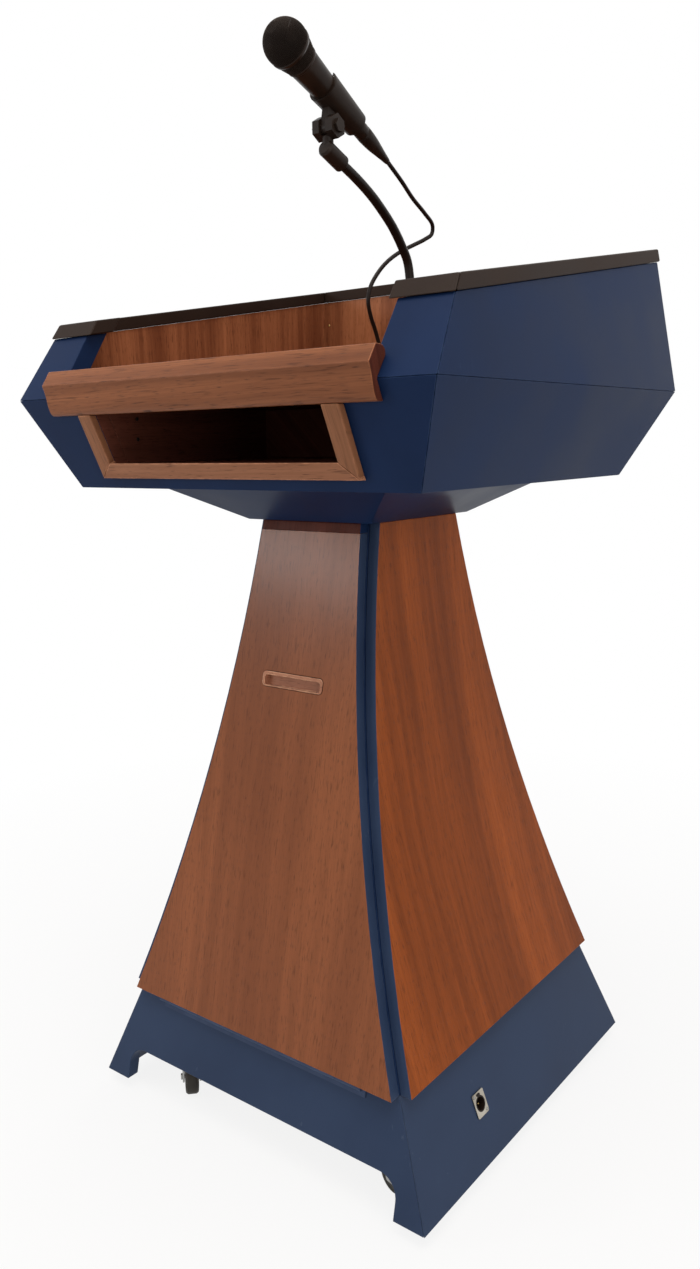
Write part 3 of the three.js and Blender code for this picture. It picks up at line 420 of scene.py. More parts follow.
# %% Worn edges and mottle
def make_edge_wear_and_highlight():
    tree, entry, leave = effect_group(
        "edge wear and highlight", [("Reach", "NodeSocketFloat", 0.001)], [("Mask", "NodeSocketFloat")])
    rounded = tree.nodes.new("ShaderNodeBevel")
    rounded.samples = 4
    tree.links.new(entry.outputs["Reach"], rounded.inputs["Radius"])
    surface = tree.nodes.new("ShaderNodeNewGeometry")
    alike = tree.nodes.new("ShaderNodeVectorMath")
    alike.operation = "DOT_PRODUCT"
    tree.links.new(rounded.outputs[0], alike.inputs[0])
    tree.links.new(surface.outputs["Normal"], alike.inputs[1])
    edge = remap(tree, alike.outputs["Value"], 0.995, 0.85)
    spots = noise(tree, stretched(tree, surface.outputs["Position"], (60, 60, 60)), 3)
    tree.links.new(math_node(tree, "MULTIPLY", edge, remap(tree, spots, 0.35, 0.65)), leave.inputs["Mask"])
    return tree


def make_mottle():
    tree, entry, leave = effect_group(
        "mottle and scuffs", [("Position", "NodeSocketVector", None)],
        [("Cloud", "NodeSocketFloat"), ("Scuff", "NodeSocketFloat"), ("Pebble", "NodeSocketFloat")])
    place = entry.outputs["Position"]
    tree.links.new(noise(tree, stretched(tree, place, (7, 7, 7)), 3), leave.inputs["Cloud"])
    streaks = noise(tree, stretched(tree, place, (260, 260, 22)), 2, 0.5, 0.6)
    patches = noise(tree, stretched(tree, place, (11, 11, 11), (4, 1, 0)), 2)
    scuff = math_node(tree, "MULTIPLY", remap(tree, streaks, 0.66, 0.74), remap(tree, patches, 0.56, 0.7))
    tree.links.new(scuff, leave.inputs["Scuff"])
    tree.links.new(noise(tree, stretched(tree, place, (1500, 1500, 1500)), 1), leave.inputs["Pebble"])
    return tree


edge_wear_and_highlight = make_edge_wear_and_highlight()
mottle = make_mottle()
print("groups", [group.name for group in bpy.data.node_groups])

# %% [markdown]
# ## Finishes
#
# Each finish is one material with its own shader. Veneer takes its grain from the object's own
# coordinates: a dot product picks which way lies across the grain and which way along it, so one figure
# serves uprights, rails and sloping boards. Lacquer is a thin clear coat. The blue is a satin laminate
# with a fine pebble, faint clouds and a few scuffs, a little paler on its arrises. The plinth and the
# panels' edges take a paler, greyer copy of it, painted light for the floor's bounce. Specular levels
# are low, because a pale studio all around would otherwise lay a grey haze over every dark surface.

# %% A material with its shader
def new_finish(name, roughness=0.5, metallic=0.0, coat=0.0, coat_roughness=0.1, specular=0.5):
    material = bpy.data.materials.new(name)
    material.use_nodes = True
    tree = material.node_tree
    shader = tree.nodes["Principled BSDF"]
    shader.inputs["Roughness"].default_value = roughness
    shader.inputs["Metallic"].default_value = metallic
    shader.inputs["Coat Weight"].default_value = coat
    shader.inputs["Coat Roughness"].default_value = coat_roughness
    shader.inputs["Specular IOR Level"].default_value = specular
    return material, tree, shader


def object_place(tree):
    return tree.nodes.new("ShaderNodeTexCoord").outputs["Object"]


def bump_from(tree, shader, height, depth):
    bump = tree.nodes.new("ShaderNodeBump")
    bump.inputs["Strength"].default_value = 1
    bump.inputs["Distance"].default_value = depth
    tree.links.new(height, bump.inputs["Height"])
    tree.links.new(bump.outputs[0], shader.inputs["Normal"])


def use_effect(tree, group):
    node = tree.nodes.new("ShaderNodeGroup")
    node.node_tree = group
    return node


# %% Veneer and solid wood
VENEER_ARRIS, SOLID_ARRIS = 0.0012, 0.0026  # how far the pale edge reaches: wear, and on solid wood also a painted highlight
SOLID_PALE_EDGE = 0.6  # a finish whose edges pale this much or more is solid wood, with a painted highlight on its arrises


def wood_finish(name, light, dark, pore, across, along, coat=0.0, shift=0.0, specular=0.08, edge=0.45):
    """Light, dark and pore are colours; across and along are the grain's axes; edge pales the arrises: wear, and
    on solid wood a painted highlight.
    """
    material, tree, shader = new_finish(name, coat=coat, coat_roughness=0.22, specular=specular)
    place = object_place(tree)
    axes = tree.nodes.new("ShaderNodeCombineXYZ")
    for i, direction in enumerate((across, along)):
        dot = tree.nodes.new("ShaderNodeVectorMath")
        dot.operation = "DOT_PRODUCT"
        dot.inputs[1].default_value = direction
        tree.links.new(place, dot.inputs[0])
        value = dot.outputs["Value"]
        if shift:
            value = math_node(tree, "ADD", value, shift)
        tree.links.new(value, axes.inputs[(0, 2)[i]])
    figure = use_effect(tree, wood_figure)
    tree.links.new(axes.outputs[0], figure.inputs["Grain Position"])
    figure.inputs["Light"].default_value = colour(*light)
    figure.inputs["Dark"].default_value = colour(*dark)
    figure.inputs["Pore"].default_value = colour(*pore)
    pale_edge = use_effect(tree, edge_wear_and_highlight)
    pale_edge.inputs["Reach"].default_value = VENEER_ARRIS if edge < SOLID_PALE_EDGE else SOLID_ARRIS
    # The pale edge colour is wear, and where the edge share is high a painted highlight too.
    pale = colour(*[min(255, c * 1.35 + 12) for c in light])
    share = math_node(tree, "MULTIPLY", pale_edge.outputs["Mask"], edge)
    tree.links.new(mix_colours(tree, share, figure.outputs["Color"], pale), shader.inputs["Base Color"])
    tree.links.new(figure.outputs["Roughness"], shader.inputs["Roughness"])
    bump_from(tree, shader, figure.outputs["Height"], 0.00012)
    return material


front_veneer = wood_finish(
    "front_veneer", (148, 87, 53), (118, 66, 38), (66, 33, 19), (1, 0, 0), (0, 0, 1), coat=0.2)
side_veneer = wood_finish(
    "side_veneer", (170, 87, 36), (114, 55, 20), (64, 27, 10), (0, 1, 0), (0, 0, 1), shift=0.4)
lining_veneer = wood_finish(
    "lining_veneer", (182, 118, 80), (112, 63, 40), (64, 32, 20), (1, 1, 0), (0, 0, 1), shift=1.3)
desk_veneer = wood_finish("desk_veneer", (146, 86, 58), (96, 52, 34), (48, 23, 14), (0, 1, 0), (1, 0, 0))
# Rail, frame strips and pull take edge 0.7 or more: their pale arrises are wear and a painted highlight.
rail_wood = wood_finish(
    "rail_wood", (152, 96, 64), (98, 57, 37), (48, 25, 17), (0, 0.6, 1), (0.5, 0, 0), coat=0.08, edge=0.8)
foot_wood = wood_finish(
    "foot_wood", (172, 120, 90), (122, 78, 56), (60, 33, 24), (0, 0.6, 1), (0.5, 0, 0), shift=0.2, edge=0.7)
stile_wood = wood_finish(
    "stile_wood", (160, 110, 80), (110, 70, 48), (60, 33, 23), (1, 0, 0), (0, 0, 0.5), shift=0.7, edge=0.7)
pull_wood = wood_finish(
    "pull_wood", (200, 142, 112), (156, 104, 80), (96, 58, 44), (0, 0, 1), (1, 0, 0), coat=0.1, edge=0.7)
end_grain = wood_finish("end_grain", (96, 50, 38), (70, 35, 27), (40, 18, 14), (0, 4, 1), (4, 0, 0))
dark_veneer = wood_finish("dark_veneer", (116, 66, 52), (76, 42, 33), (36, 18, 14), (1, 0, 1), (0, 1, 0))
# The door's head rail is darkened: painted shade for the shadow that the cabinet's collar casts on it.
head_rail_painted_shade = wood_finish(
    "head_rail_painted_shade", (96, 48, 36), (70, 34, 26), (30, 13, 10), (1, 0, 0), (0, 0, 1), specular=0.04)
print("woods", [m.name for m in bpy.data.materials if "veneer" in m.name or "wood" in m.name])

# %% Blue laminate, board and rim
def laminate_finish(name, base, cloudy, scuffed, worn_colour, roughness=0.4, specular=0.12):
    material, tree, shader = new_finish(name, specular=specular)
    surface = use_effect(tree, mottle)
    tree.links.new(object_place(tree), surface.inputs["Position"])
    cloud = remap(tree, surface.outputs["Cloud"], 0.3, 0.7)
    ground = mix_colours(tree, cloud, colour(*base), colour(*cloudy))
    scuff = math_node(tree, "MULTIPLY", surface.outputs["Scuff"], 0.4)
    marked = mix_colours(tree, scuff, ground, colour(*scuffed))
    pale_edge = use_effect(tree, edge_wear_and_highlight)
    pale_edge.inputs["Reach"].default_value = 0.0014
    edge = math_node(tree, "MULTIPLY", pale_edge.outputs["Mask"], 0.5)
    tree.links.new(mix_colours(tree, edge, marked, colour(*worn_colour)), shader.inputs["Base Color"])
    dull = remap(tree, surface.outputs["Cloud"], 0.3, 0.7, roughness - 0.04, roughness + 0.06)
    dull = math_node(tree, "ADD", dull, math_node(tree, "MULTIPLY", surface.outputs["Scuff"], 0.15))
    tree.links.new(dull, shader.inputs["Roughness"])
    bump_from(tree, shader, surface.outputs["Pebble"], 0.00004)
    return material


blue_laminate = laminate_finish(
    "blue_laminate", (18, 35, 66), (23, 41, 74), (64, 80, 108), (72, 92, 126), specular=0.06)
# A paler, greyer copy of the blue laminate: painted light for the floor's bounce on the plinth.
plinth_laminate = laminate_finish(
    "plinth_laminate", (40, 55, 82), (47, 62, 89), (86, 98, 120), (92, 106, 132), 0.46, specular=0.14)
rim_edge = laminate_finish(
    "rim_edge", (42, 32, 27), (50, 39, 33), (74, 66, 60), (66, 57, 51), 0.46, specular=0.06)
raw_board = laminate_finish("raw_board", (150, 128, 98), (136, 112, 84), (110, 88, 64), (170, 150, 120), 0.8)
print("boards", blue_laminate.name, rim_edge.name, raw_board.name)

# %% Metal, rubber and moulded black
def speckled_finish(name, base, other, roughness, metallic=0.0, scale=400, depth=0.00003, specular=0.15):
    material, tree, shader = new_finish(name, metallic=metallic, specular=specular)
    place = object_place(tree)
    fine = noise(tree, stretched(tree, place, (scale, scale, scale)), 2)
    slow = noise(tree, stretched(tree, place, (28, 28, 28)), 2)
    tree.links.new(mix_colours(tree, remap(tree, slow, 0.3, 0.7), colour(*base), colour(*other)),
                   shader.inputs["Base Color"])
    dullness = remap(tree, fine, 0.2, 0.8, roughness - 0.07, roughness + 0.07)
    tree.links.new(dullness, shader.inputs["Roughness"])
    bump_from(tree, shader, fine, depth)
    return material


zinc_steel = speckled_finish("zinc_steel", (176, 176, 172), (150, 150, 148), 0.34, metallic=1.0)
nickel = speckled_finish("nickel_plate", (190, 184, 172), (160, 152, 138), 0.3, metallic=1.0)
tyre_rubber = speckled_finish("tyre", (62, 60, 58), (78, 75, 70), 0.62, scale=900, depth=0.00006)
hub_plastic = speckled_finish("hub_plastic", (96, 94, 90), (80, 78, 75), 0.5)
black_plastic = speckled_finish("black_plastic", (38, 28, 22), (29, 21, 17), 0.42, scale=1200)
black_sleeve = speckled_finish("black_sleeve", (30, 21, 16), (23, 16, 13), 0.36, scale=700)
mic_paint = speckled_finish("mic_paint", (38, 26, 19), (29, 20, 15), 0.34, scale=1500)
grille_wire = speckled_finish("grille_wire", (56, 46, 40), (42, 34, 30), 0.4, metallic=0.6, scale=1800)
foam_black = speckled_finish(
    "foam_black", (18, 15, 13), (24, 20, 18), 0.9, scale=1600, depth=0.0002, specular=0.05)
cable_rubber = speckled_finish("cable_rubber", (30, 20, 15), (24, 16, 13), 0.44, scale=900)
# Painted shade: a dark ring that stands for the shadow in the gap round the door pull.
pull_gap_painted_shade = speckled_finish("pull_gap_painted_shade", (34, 14, 10), (26, 10, 8), 0.8, specular=0.0)
# Paler than the plinth's blue: painted light that lifts the shade under the door's foot.
hinge_blue_painted_light = speckled_finish("hinge_blue_painted_light", (62, 76, 104), (54, 67, 94), 0.5)
brass_pin = speckled_finish("brass_pin", (200, 170, 110), (180, 150, 95), 0.3, metallic=1.0)
cable.data.materials.append(cable_rubber)
print("materials", len(bpy.data.materials))

# %% [markdown]
# ## Boards with eased edges
#
# A real board never has a knife edge: the saw leaves one and sandpaper takes it off. Beveling by hand would
# be slow, so one helper copies a part's mesh, merges its triangles back into flat faces, rounds every edge
# sharper than 30 degrees with a Bevel modifier and weights the normals by face area, which keeps large
# faces flat. The copy rides on the same body as the part that it stands for.

# %% Eased copies
SHARP = math.radians(30)


def clean_copy(node, name, flat_angle=0.5):
    """A copy of a part's mesh with its triangles merged back into flat faces."""
    mesh = bpy.data.meshes.new(name)
    shape = bmesh.new()
    shape.from_mesh(frame["nodes"][node].data)
    bmesh.ops.remove_doubles(shape, verts=shape.verts, dist=2e-5)
    bmesh.ops.dissolve_limit(
        shape, angle_limit=math.radians(flat_angle), verts=shape.verts, edges=shape.edges)
    bmesh.ops.recalc_face_normals(shape, faces=shape.faces)
    for face in shape.faces:
        face.smooth = True
    shape.to_mesh(mesh)
    shape.free()
    piece = bpy.data.objects.new(name, mesh)
    bpy.context.scene.collection.objects.link(piece)
    return piece


def ease_edges(piece, width, segments=2):
    bevel = piece.modifiers.new("eased edges", "BEVEL")
    bevel.width = width
    bevel.segments = segments
    bevel.limit_method = "ANGLE"
    bevel.angle_limit = SHARP
    bevel.use_clamp_overlap = True
    bevel.miter_outer = "MITER_ARC"
    weights = piece.modifiers.new("flat faces", "WEIGHTED_NORMAL")
    weights.keep_sharp = True
    weights.weight = 80


def dress(piece, material, body):
    """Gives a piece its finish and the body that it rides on."""
    piece.data.materials.clear()
    piece.data.materials.append(material)
    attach(piece, body)
    return piece


def stand_for(piece, node, material):
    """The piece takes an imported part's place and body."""
    dress(piece, material, body_of_node[node])
    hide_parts(node)
    return piece


def eased(node, material, width=0.0008, segments=2):
    piece = clean_copy(node, node + "_eased")
    ease_edges(piece, width, segments)
    return stand_for(piece, node, material)


# %% Faces that take another finish
def finish_faces(piece, material, chosen):
    """Gives a second material to the faces whose centre and normal pass the test."""
    piece.data.materials.append(material)
    slot_number = len(piece.data.materials) - 1
    for polygon in piece.data.polygons:
        if chosen(polygon.center, polygon.normal):
            polygon.material_index = slot_number
    return piece


# %% Blue boards
BLUE_BOARDS = [node for node, slot in slot_of_node.items() if slot == "blue_laminate"]
# The plinth's boards take the paler copy of the laminate, painted light.
for node in BLUE_BOARDS:
    eased(node, plinth_laminate if node.startswith("plinth") else blue_laminate, 0.0009)

box_low, box_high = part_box("storage_box")
BOX_WALL = 0.012


def in_mouth(centre, normal):
    return abs(normal.y) < 0.3 and abs(centre.x) < box_high.x and box_low.z < centre.z < box_high.z


finish_faces(bpy.data.objects["cabinet_speaker_lower_board_eased"], dark_veneer, in_mouth)
print("blue boards", len(BLUE_BOARDS))

# %% [markdown]
# ## Veneered panels with blue edges
#
# Each face of the column carries a loose panel that stops short of the corner, so two panel edges form a
# small valley down every corner. Their faces are veneered, while the edges that look into the valley are
# painted blue. A second material on the edge faces says so without any extra piece.

# %% Column panels, head rail and door
def edge_along_x(centre, normal):
    return abs(normal.x) > 0.7


def edge_along_y(centre, normal):
    return abs(normal.y) > 0.7


# The panels' blue edges take the paler copy of the laminate too, painted light.
for node in ("column_left_panel", "column_right_panel"):
    finish_faces(eased(node, side_veneer, 0.0007), plinth_laminate, edge_along_y)
for node in ("column_audience_panel", "access_door"):
    finish_faces(eased(node, front_veneer, 0.0007), plinth_laminate, edge_along_x)
finish_faces(eased("door_head_rail", head_rail_painted_shade, 0.0006), blue_laminate, edge_along_x)
for node in ("rim_left", "rim_right", "rim_audience", "rim_left_return", "rim_right_return"):
    eased(node, rim_edge, 0.0018, 3)
LININGS = {
    "well_lining": lining_veneer, "reading_surface": desk_veneer, "storage_box": dark_veneer,
    "base_board": raw_board, "cabinet_floor": raw_board,
}
for node, finish in LININGS.items():
    eased(node, finish, 0.0006)
print("panels and linings done")

# %% [markdown]
# ## The book rail
#
# The rail is a solid moulding with a crisp ridge and a hollow face below it. Its section is a short list of
# points measured from the cabinet's crease, with a curve for the hollow, and it is swept straight across.
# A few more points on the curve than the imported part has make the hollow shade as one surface.

# %% Swept sections
def swept_piece(name, section, from_x, to_x):
    """A closed section in Y and Z, run along X between two ends."""
    vertices = [(x, y, z) for x in (from_x, to_x) for y, z in section]
    return point_outward(new_piece(name, vertices, drum_faces(len(section))))


def curve_2d(points, steps):
    route = smooth_route([Vector((a, b, 0)) for a, b in points], steps)
    return [(v.x, v.y) for v in route]


# %% Book rail
crease_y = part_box("cabinet_speaker_lower_board")[0].y
crease_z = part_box("cabinet_speaker_lower_board")[1].z
rail_low, rail_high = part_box("book_rail")
hollow = curve_2d(
    [(-14.1, 15.7), (-11.4, 8.6), (-9.3, 1), (-7.6, -7), (-5.6, -14), (-2.4, -20), (0.4, -22)], 4)
crown = curve_2d([(14.6, 23), (13.6, 29), (9.5, 32.4), (4, 33.5), (-2.2, 33.6)], 3)
rail_section = [(9.4, -22.0), (-0.6, 0), *crown, *hollow]
rail_section = [(crease_y + y * MM, crease_z + z * MM) for y, z in rail_section]
rail = swept_piece("book_rail_moulding", rail_section, rail_low.x, rail_high.x)
ease_edges(rail, 0.0011, 3)
stand_for(rail, "book_rail", rail_wood)
finish_faces(rail, end_grain, edge_along_x)
print("rail", [round(v, 4) for v in (rail_low.x, rail_high.x)])

# %% [markdown]
# ## The compartment frame
#
# Three strips of the same wood frame the opening, with mitred corners at the foot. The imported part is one
# solid, so its mesh is copied three times and each copy is sliced along the mitre lines. Then the grain can
# run along each strip and a fine dark line shows where two strips meet.

# %% Mitred strips
def sliced_copy(node, name, cuts):
    """A copy of a part, cut by planes; each cut is a point and the normal of the side taken off."""
    piece = clean_copy(node, name)
    shape = bmesh.new()
    shape.from_mesh(piece.data)
    for point, normal in cuts:
        geometry = [*shape.verts, *shape.edges, *shape.faces]
        found = bmesh.ops.bisect_plane(
            shape, geom=geometry, plane_co=point, plane_no=normal, clear_outer=True)
        rim = [item for item in found["geom_cut"] if isinstance(item, bmesh.types.BMEdge)]
        bmesh.ops.holes_fill(shape, edges=rim)
    shape.to_mesh(piece.data)
    shape.free()
    return point_outward(piece)


frame_mesh = frame["nodes"]["compartment_frame"].data
frame_front = max(frame_mesh.polygons, key=lambda polygon: polygon.area * (polygon.normal.y < -0.5))
face_normal = frame_front.normal.copy()
face_up = face_normal.cross(Vector((1, 0, 0)))
if face_up.z < 0:
    face_up.negate()
frame_low, frame_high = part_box("compartment_frame")
inner_half = min(abs(v.co.x) for v in frame_mesh.vertices)
inner_foot = box_low.z + BOX_WALL
strip_width = frame_high.x - inner_half
foot_height = inner_foot - frame_low.z
MITRE_GAP = 0.00015
MIDDLE_CUT = 0.05  # a stile's copy ends here, inside the opening
STRIP_EASE = 0.0012


def mitre_cut(side, keep_stile):
    """The slanting plane through the inner and outer corner at one side of the foot."""
    corner = Vector((side * inner_half, frame_front.center.y, inner_foot))
    corner.y += (frame_front.center.z - inner_foot) * face_normal.z / face_normal.y
    diagonal = Vector((side * strip_width, 0, 0)) - face_up * (foot_height / face_up.z)
    normal = diagonal.cross(face_normal).normalized()
    if (normal.z > 0) == keep_stile:
        normal.negate()
    return corner - normal * MITRE_GAP, normal


for side, label in ((-1, "left"), (1, "right")):
    stile = sliced_copy("compartment_frame", f"frame_{label}_stile", [
        mitre_cut(side, True), (Vector((side * MIDDLE_CUT, 0, 0)), Vector((-side, 0, 0)))])
    ease_edges(stile, STRIP_EASE)
    stand_for(stile, "compartment_frame", stile_wood)
foot_strip = sliced_copy(
    "compartment_frame", "frame_foot_strip", [mitre_cut(-1, False), mitre_cut(1, False)])
ease_edges(foot_strip, STRIP_EASE)
stand_for(foot_strip, "compartment_frame", foot_wood)
print("frame strip width", round(strip_width, 4), "foot", round(foot_height, 4))

# %% [markdown]
# ## Turned pieces, screws and other small tools
#
# Round things are made like a potter makes them: a profile turned about an axis. A wire or pin is a short
# turned piece too. Screws get a cross cut into their heads with a boolean, which is quick for a small solid.

# %% Turned pieces
def turned_piece(name, profile, place=Matrix.Identity(4), segments=64):
    """Turns [radius, height] points in millimetres about local Z; a radius of 0 closes the end."""
    vertices, rings = [], []
    for radius, height in profile:
        if radius <= 0:
            rings.append([len(vertices)])
            vertices.append(place @ Vector((0, 0, height * MM)))
            continue
        rings.append(list(range(len(vertices), len(vertices) + segments)))
        for k in range(segments):
            angle = 2 * math.pi * k / segments
            point = Vector((radius * math.cos(angle), radius * math.sin(angle), height)) * MM
            vertices.append(place @ point)
    faces = []
    for lower, upper in zip(rings, rings[1:]):
        for k in range(segments):
            after = (k + 1) % segments
            if len(lower) == 1:
                faces.append((lower[0], upper[after], upper[k]))
            elif len(upper) == 1:
                faces.append((lower[k], lower[after], upper[0]))
            else:
                faces.append((lower[k], lower[after], upper[after], upper[k]))
    return point_outward(new_piece(name, vertices, faces))


def prism(name, outline, low, high, place=Matrix.Identity(4)):
    """An outline in millimetres in local X and Y, raised along local Z."""
    vertices = [place @ (Vector((x, y, z)) * MM) for z in (low, high) for x, y in outline]
    return point_outward(new_piece(name, vertices, drum_faces(len(outline)), smooth=False))


def rounded_outline(width, height, radius, steps=6):
    points = []
    for corner, (sx, sy) in enumerate(((1, 1), (-1, 1), (-1, -1), (1, -1))):
        for i in range(steps + 1):
            angle = math.pi / 2 * (corner + i / steps)
            points.append((sx * (width / 2 - radius) + radius * math.cos(angle),
                           sy * (height / 2 - radius) + radius * math.sin(angle)))
    return points


def cut_away(piece, cutter):
    """Subtracts the cutter from the piece and throws the cutter away."""
    boolean = piece.modifiers.new("cut", "BOOLEAN")
    boolean.operation = "DIFFERENCE"
    boolean.solver = "EXACT"
    boolean.object = cutter
    bpy.context.view_layer.update()
    evaluated = piece.evaluated_get(bpy.context.evaluated_depsgraph_get())
    result = bpy.data.meshes.new_from_object(evaluated)
    piece.modifiers.clear()
    piece.data = result
    bpy.data.objects.remove(cutter)
    return piece


def facing(point, normal):
    """A matrix whose Z points along the normal, at a point."""
    z = normal.normalized()
    x = Vector((0, 0, 1)).cross(z).normalized()
    return Matrix.Translation(point) @ Matrix((x, z.cross(x), z)).transposed().to_4x4()


def screw(name, place, radius, material):
    """A domed screw head with a cross recess, in a fixed board; radius in millimetres."""
    r = radius
    dome = [(0, -1.2), (r * 0.6, -1.2), (r, 0), (r * 0.92, 0.35 * r), (r * 0.5, 0.55 * r), (0, 0.6 * r)]
    head = turned_piece(name, dome, place, 28)
    a, b = 0.62 * r, 0.14 * r
    cross = [(a, -b), (a, b), (b, b), (b, a), (-b, a), (-b, b),
             (-a, b), (-a, -b), (-b, -b), (-b, -a), (b, -a), (b, -b)]
    cut_away(head, prism(name + "_cutter", cross, 0.2 * r, 2 * r, place))
    return dress(head, material, "root")


# %% [markdown]
# ## The microphone
#
# The head is a ball of woven wire over black foam. A sphere made from a cube, with every face square,
# gives even wires over the crown where a globe's meridians would crowd together. The cone behind the seam
# band is a lattice of diamonds. A Wireframe modifier turns the edges of both into wires.

# %% Head of wire mesh
BALL, FRONT_FLAT, SEAM, CONE_END, NECK_RING = 25.4, 24.3, 8.6, 27.0, 19.0
CONE_START_RADIUS = math.sqrt(BALL ** 2 - SEAM ** 2)


def crown_grid(count):
    """A cube's faces pressed out to the ball, front half only."""
    vertices, faces, seen = [], [], {}

    def corner(direction):
        key = tuple(round(c, 5) for c in direction)
        if key not in seen:
            unit = direction.normalized()
            reach = BALL if unit.z > -FRONT_FLAT / BALL else FRONT_FLAT / -unit.z
            seen[key] = len(vertices)
            vertices.append(unit * reach * MM)
        return seen[key]

    for axis in range(3):
        for sign in (-1, 1):
            for i in range(count):
                for j in range(count):
                    quad = []
                    for di, dj in ((0, 0), (1, 0), (1, 1), (0, 1)):
                        a = math.tan(math.pi / 4 * (2 * (i + di) / count - 1))
                        b = math.tan(math.pi / 4 * (2 * (j + dj) / count - 1))
                        direction = [a, b]
                        direction.insert(axis, sign)
                        quad.append(Vector(direction))
                    if max(q.normalized().z for q in quad) * BALL < SEAM:
                        faces.append(tuple(corner(q) for q in quad))
    return vertices, faces


def cone_lattice(around, rows):
    vertices, faces = [], []
    for row in range(rows + 1):
        share = row / rows
        radius = CONE_START_RADIUS + (NECK_RING - CONE_START_RADIUS) * share ** 1.15
        height = SEAM + (CONE_END - SEAM) * share
        for k in range(around):
            angle = 2 * math.pi * (k + 0.5 * (row % 2)) / around
            vertices.append(Vector((radius * math.cos(angle), radius * math.sin(angle), height)) * MM)
    for row in range(rows - 1):
        for k in range(around):
            left = (k - 1 + row % 2) % around
            right = (k + row % 2) % around
            faces.append((row * around + k, (row + 1) * around + right,
                          (row + 2) * around + k, (row + 1) * around + left))
    return vertices, faces


def wire_piece(name, vertices, faces, wire):
    piece = new_piece(name, [mic_frame @ v for v in vertices], faces)
    wires = piece.modifiers.new("wires", "WIREFRAME")
    wires.thickness = wire
    wires.use_even_offset = False
    return stand_for(piece, "mic_grille", grille_wire)


WIRE = 0.00042
wire_piece("grille_crown", *crown_grid(30), WIRE)
wire_piece("grille_cone", *cone_lattice(84, 22), WIRE)
FOAM = 24.3
foam_turns = [math.radians(degrees) for degrees in range(-64, 20, 7)]
foam_profile = [(0, -23.2), (8, -23.1), *[(FOAM * math.cos(a), FOAM * math.sin(a)) for a in foam_turns],
                (17.6, 27), (17.4, 29.4), (0, 29.4)]
stand_for(turned_piece("grille_foam", foam_profile, mic_frame), "mic_grille", foam_black)
band_profile = [(-0.8, 6.4), (1.25, 6.6), (1.35, 7.4), (0.55, 10.6), (-0.1, 10.9), (-1.6, 10.6), (-0.8, 6.4)]
band_profile = [(CONE_START_RADIUS + proud, height) for proud, height in band_profile]
ring_profile = [
    (17.6, 26.2), (19.1, 26.4), (19.4, 27.0), (19.4, 29.0), (19.0, 29.6), (17.6, 29.6), (17.6, 26.2)]
for name, profile in (("grille_band", band_profile), ("grille_neck_ring", ring_profile)):
    stand_for(turned_piece(name, profile, mic_frame), "mic_grille", mic_paint)
print("wire head done")

# %% Body with its switch
SWITCH_AT = 58
body_profile = [
    (0, 30), (17.4, 30), (17.9, 30.5), (18, 31.5), (18, 35.4), (17.8, 37), (15.7, 70), (11.8, 125.5),
    (11.4, 127.6), (10.6, 128.4), (8.6, 128.6), (8.6, 133.4), (8.2, 133.9), (0, 133.9)]
mic_body = turned_piece("mic_body_shell", body_profile, mic_frame)
pocket_place = mic_frame @ facing(Vector((0, -14.2, SWITCH_AT)) * MM, Vector((0, -1, 0)))
cut_away(mic_body, prism("pocket", rounded_outline(6.6, 14.6, 1.4), 0, 8, pocket_place))
edge_round = mic_body.modifiers.new("eased edges", "BEVEL")
edge_round.width, edge_round.segments, edge_round.limit_method = 0.0002, 2, "ANGLE"
stand_for(mic_body, "mic_body", mic_paint)


def rectangle(half_width, low, high):
    return [(-half_width, low), (half_width, low), (half_width, high), (-half_width, high)]


switch_place = mic_frame @ facing(Vector((0, -14.3, SWITCH_AT - 2.5)) * MM, Vector((0, -1, 0)))
mic_switch = prism("mic_switch_slider", rectangle(2.9, -3.9, 3.9), 0.1, 2.6, switch_place)
GROOVE_STEP, GROOVE_HALF = 1.4, 0.3
for i in range(-2, 3):
    groove = rectangle(4, i * GROOVE_STEP - GROOVE_HALF, i * GROOVE_STEP + GROOVE_HALF)
    cut_away(mic_switch, prism("groove", groove, 2.1, 4, switch_place))
stand_for(mic_switch, "mic_switch", black_plastic)
print("body and switch done")

# %% [markdown]
# ## Plug, clip and gooseneck
#
# The plug's rubber boot tapers smoothly down to the cable. The clip, the swivel block and the flange keep
# the imported shapes with eased edges. The gooseneck is a steel spiral under a black sleeve, so its copy is
# subdivided into a truly round tube.

# %% Plug with its tapering boot
boot_taper = curve_2d([(9.75, 158.5), (9.3, 166), (8.5, 175), (6.6, 188), (4.8, 200), (3.9, 207)], 4)
plug_profile = [
    (0, 134.2), (9.2, 134.2), (9.7, 134.8), (9.7, 152), (9.45, 152.3), (9.45, 153.7), (9.7, 154),
    *boot_taper, (3.5, 209.3), (2.9, 209.9), (0, 209.9)]
plug = turned_piece("mic_plug_boot", plug_profile, mic_frame, 48)
stand_for(plug, "mic_plug", black_plastic)

# %% Clip, block, flange, grommet and gooseneck
eased("mic_clip", black_plastic, 0.0006, 3)
eased("swivel_block", black_plastic, 0.0007, 3)
eased("neck_flange", black_plastic, 0.0004)
grommet = eased("cable_grommet", black_plastic, 0.0004)
gooseneck = clean_copy("gooseneck", "gooseneck_sleeve", 0.01)
rounder = gooseneck.modifiers.new("rounder", "SUBSURF")
rounder.levels = rounder.render_levels = 1
stand_for(gooseneck, "gooseneck", black_sleeve)
print("microphone stand done")

# %% [markdown]
# ## Door pull, hinge and the connector
#
# The pull is a moulded wooden cup let into the door, with a thin dark ring around it: painted shade that
# stands for the shadow in the gap. The hinge hides under the door's foot and is painted a dull blue, paler
# than the plinth: painted light that lifts the shade there. The connector is a nickel plate held by two
# screws, with a latch, a black cup and three contact pins.

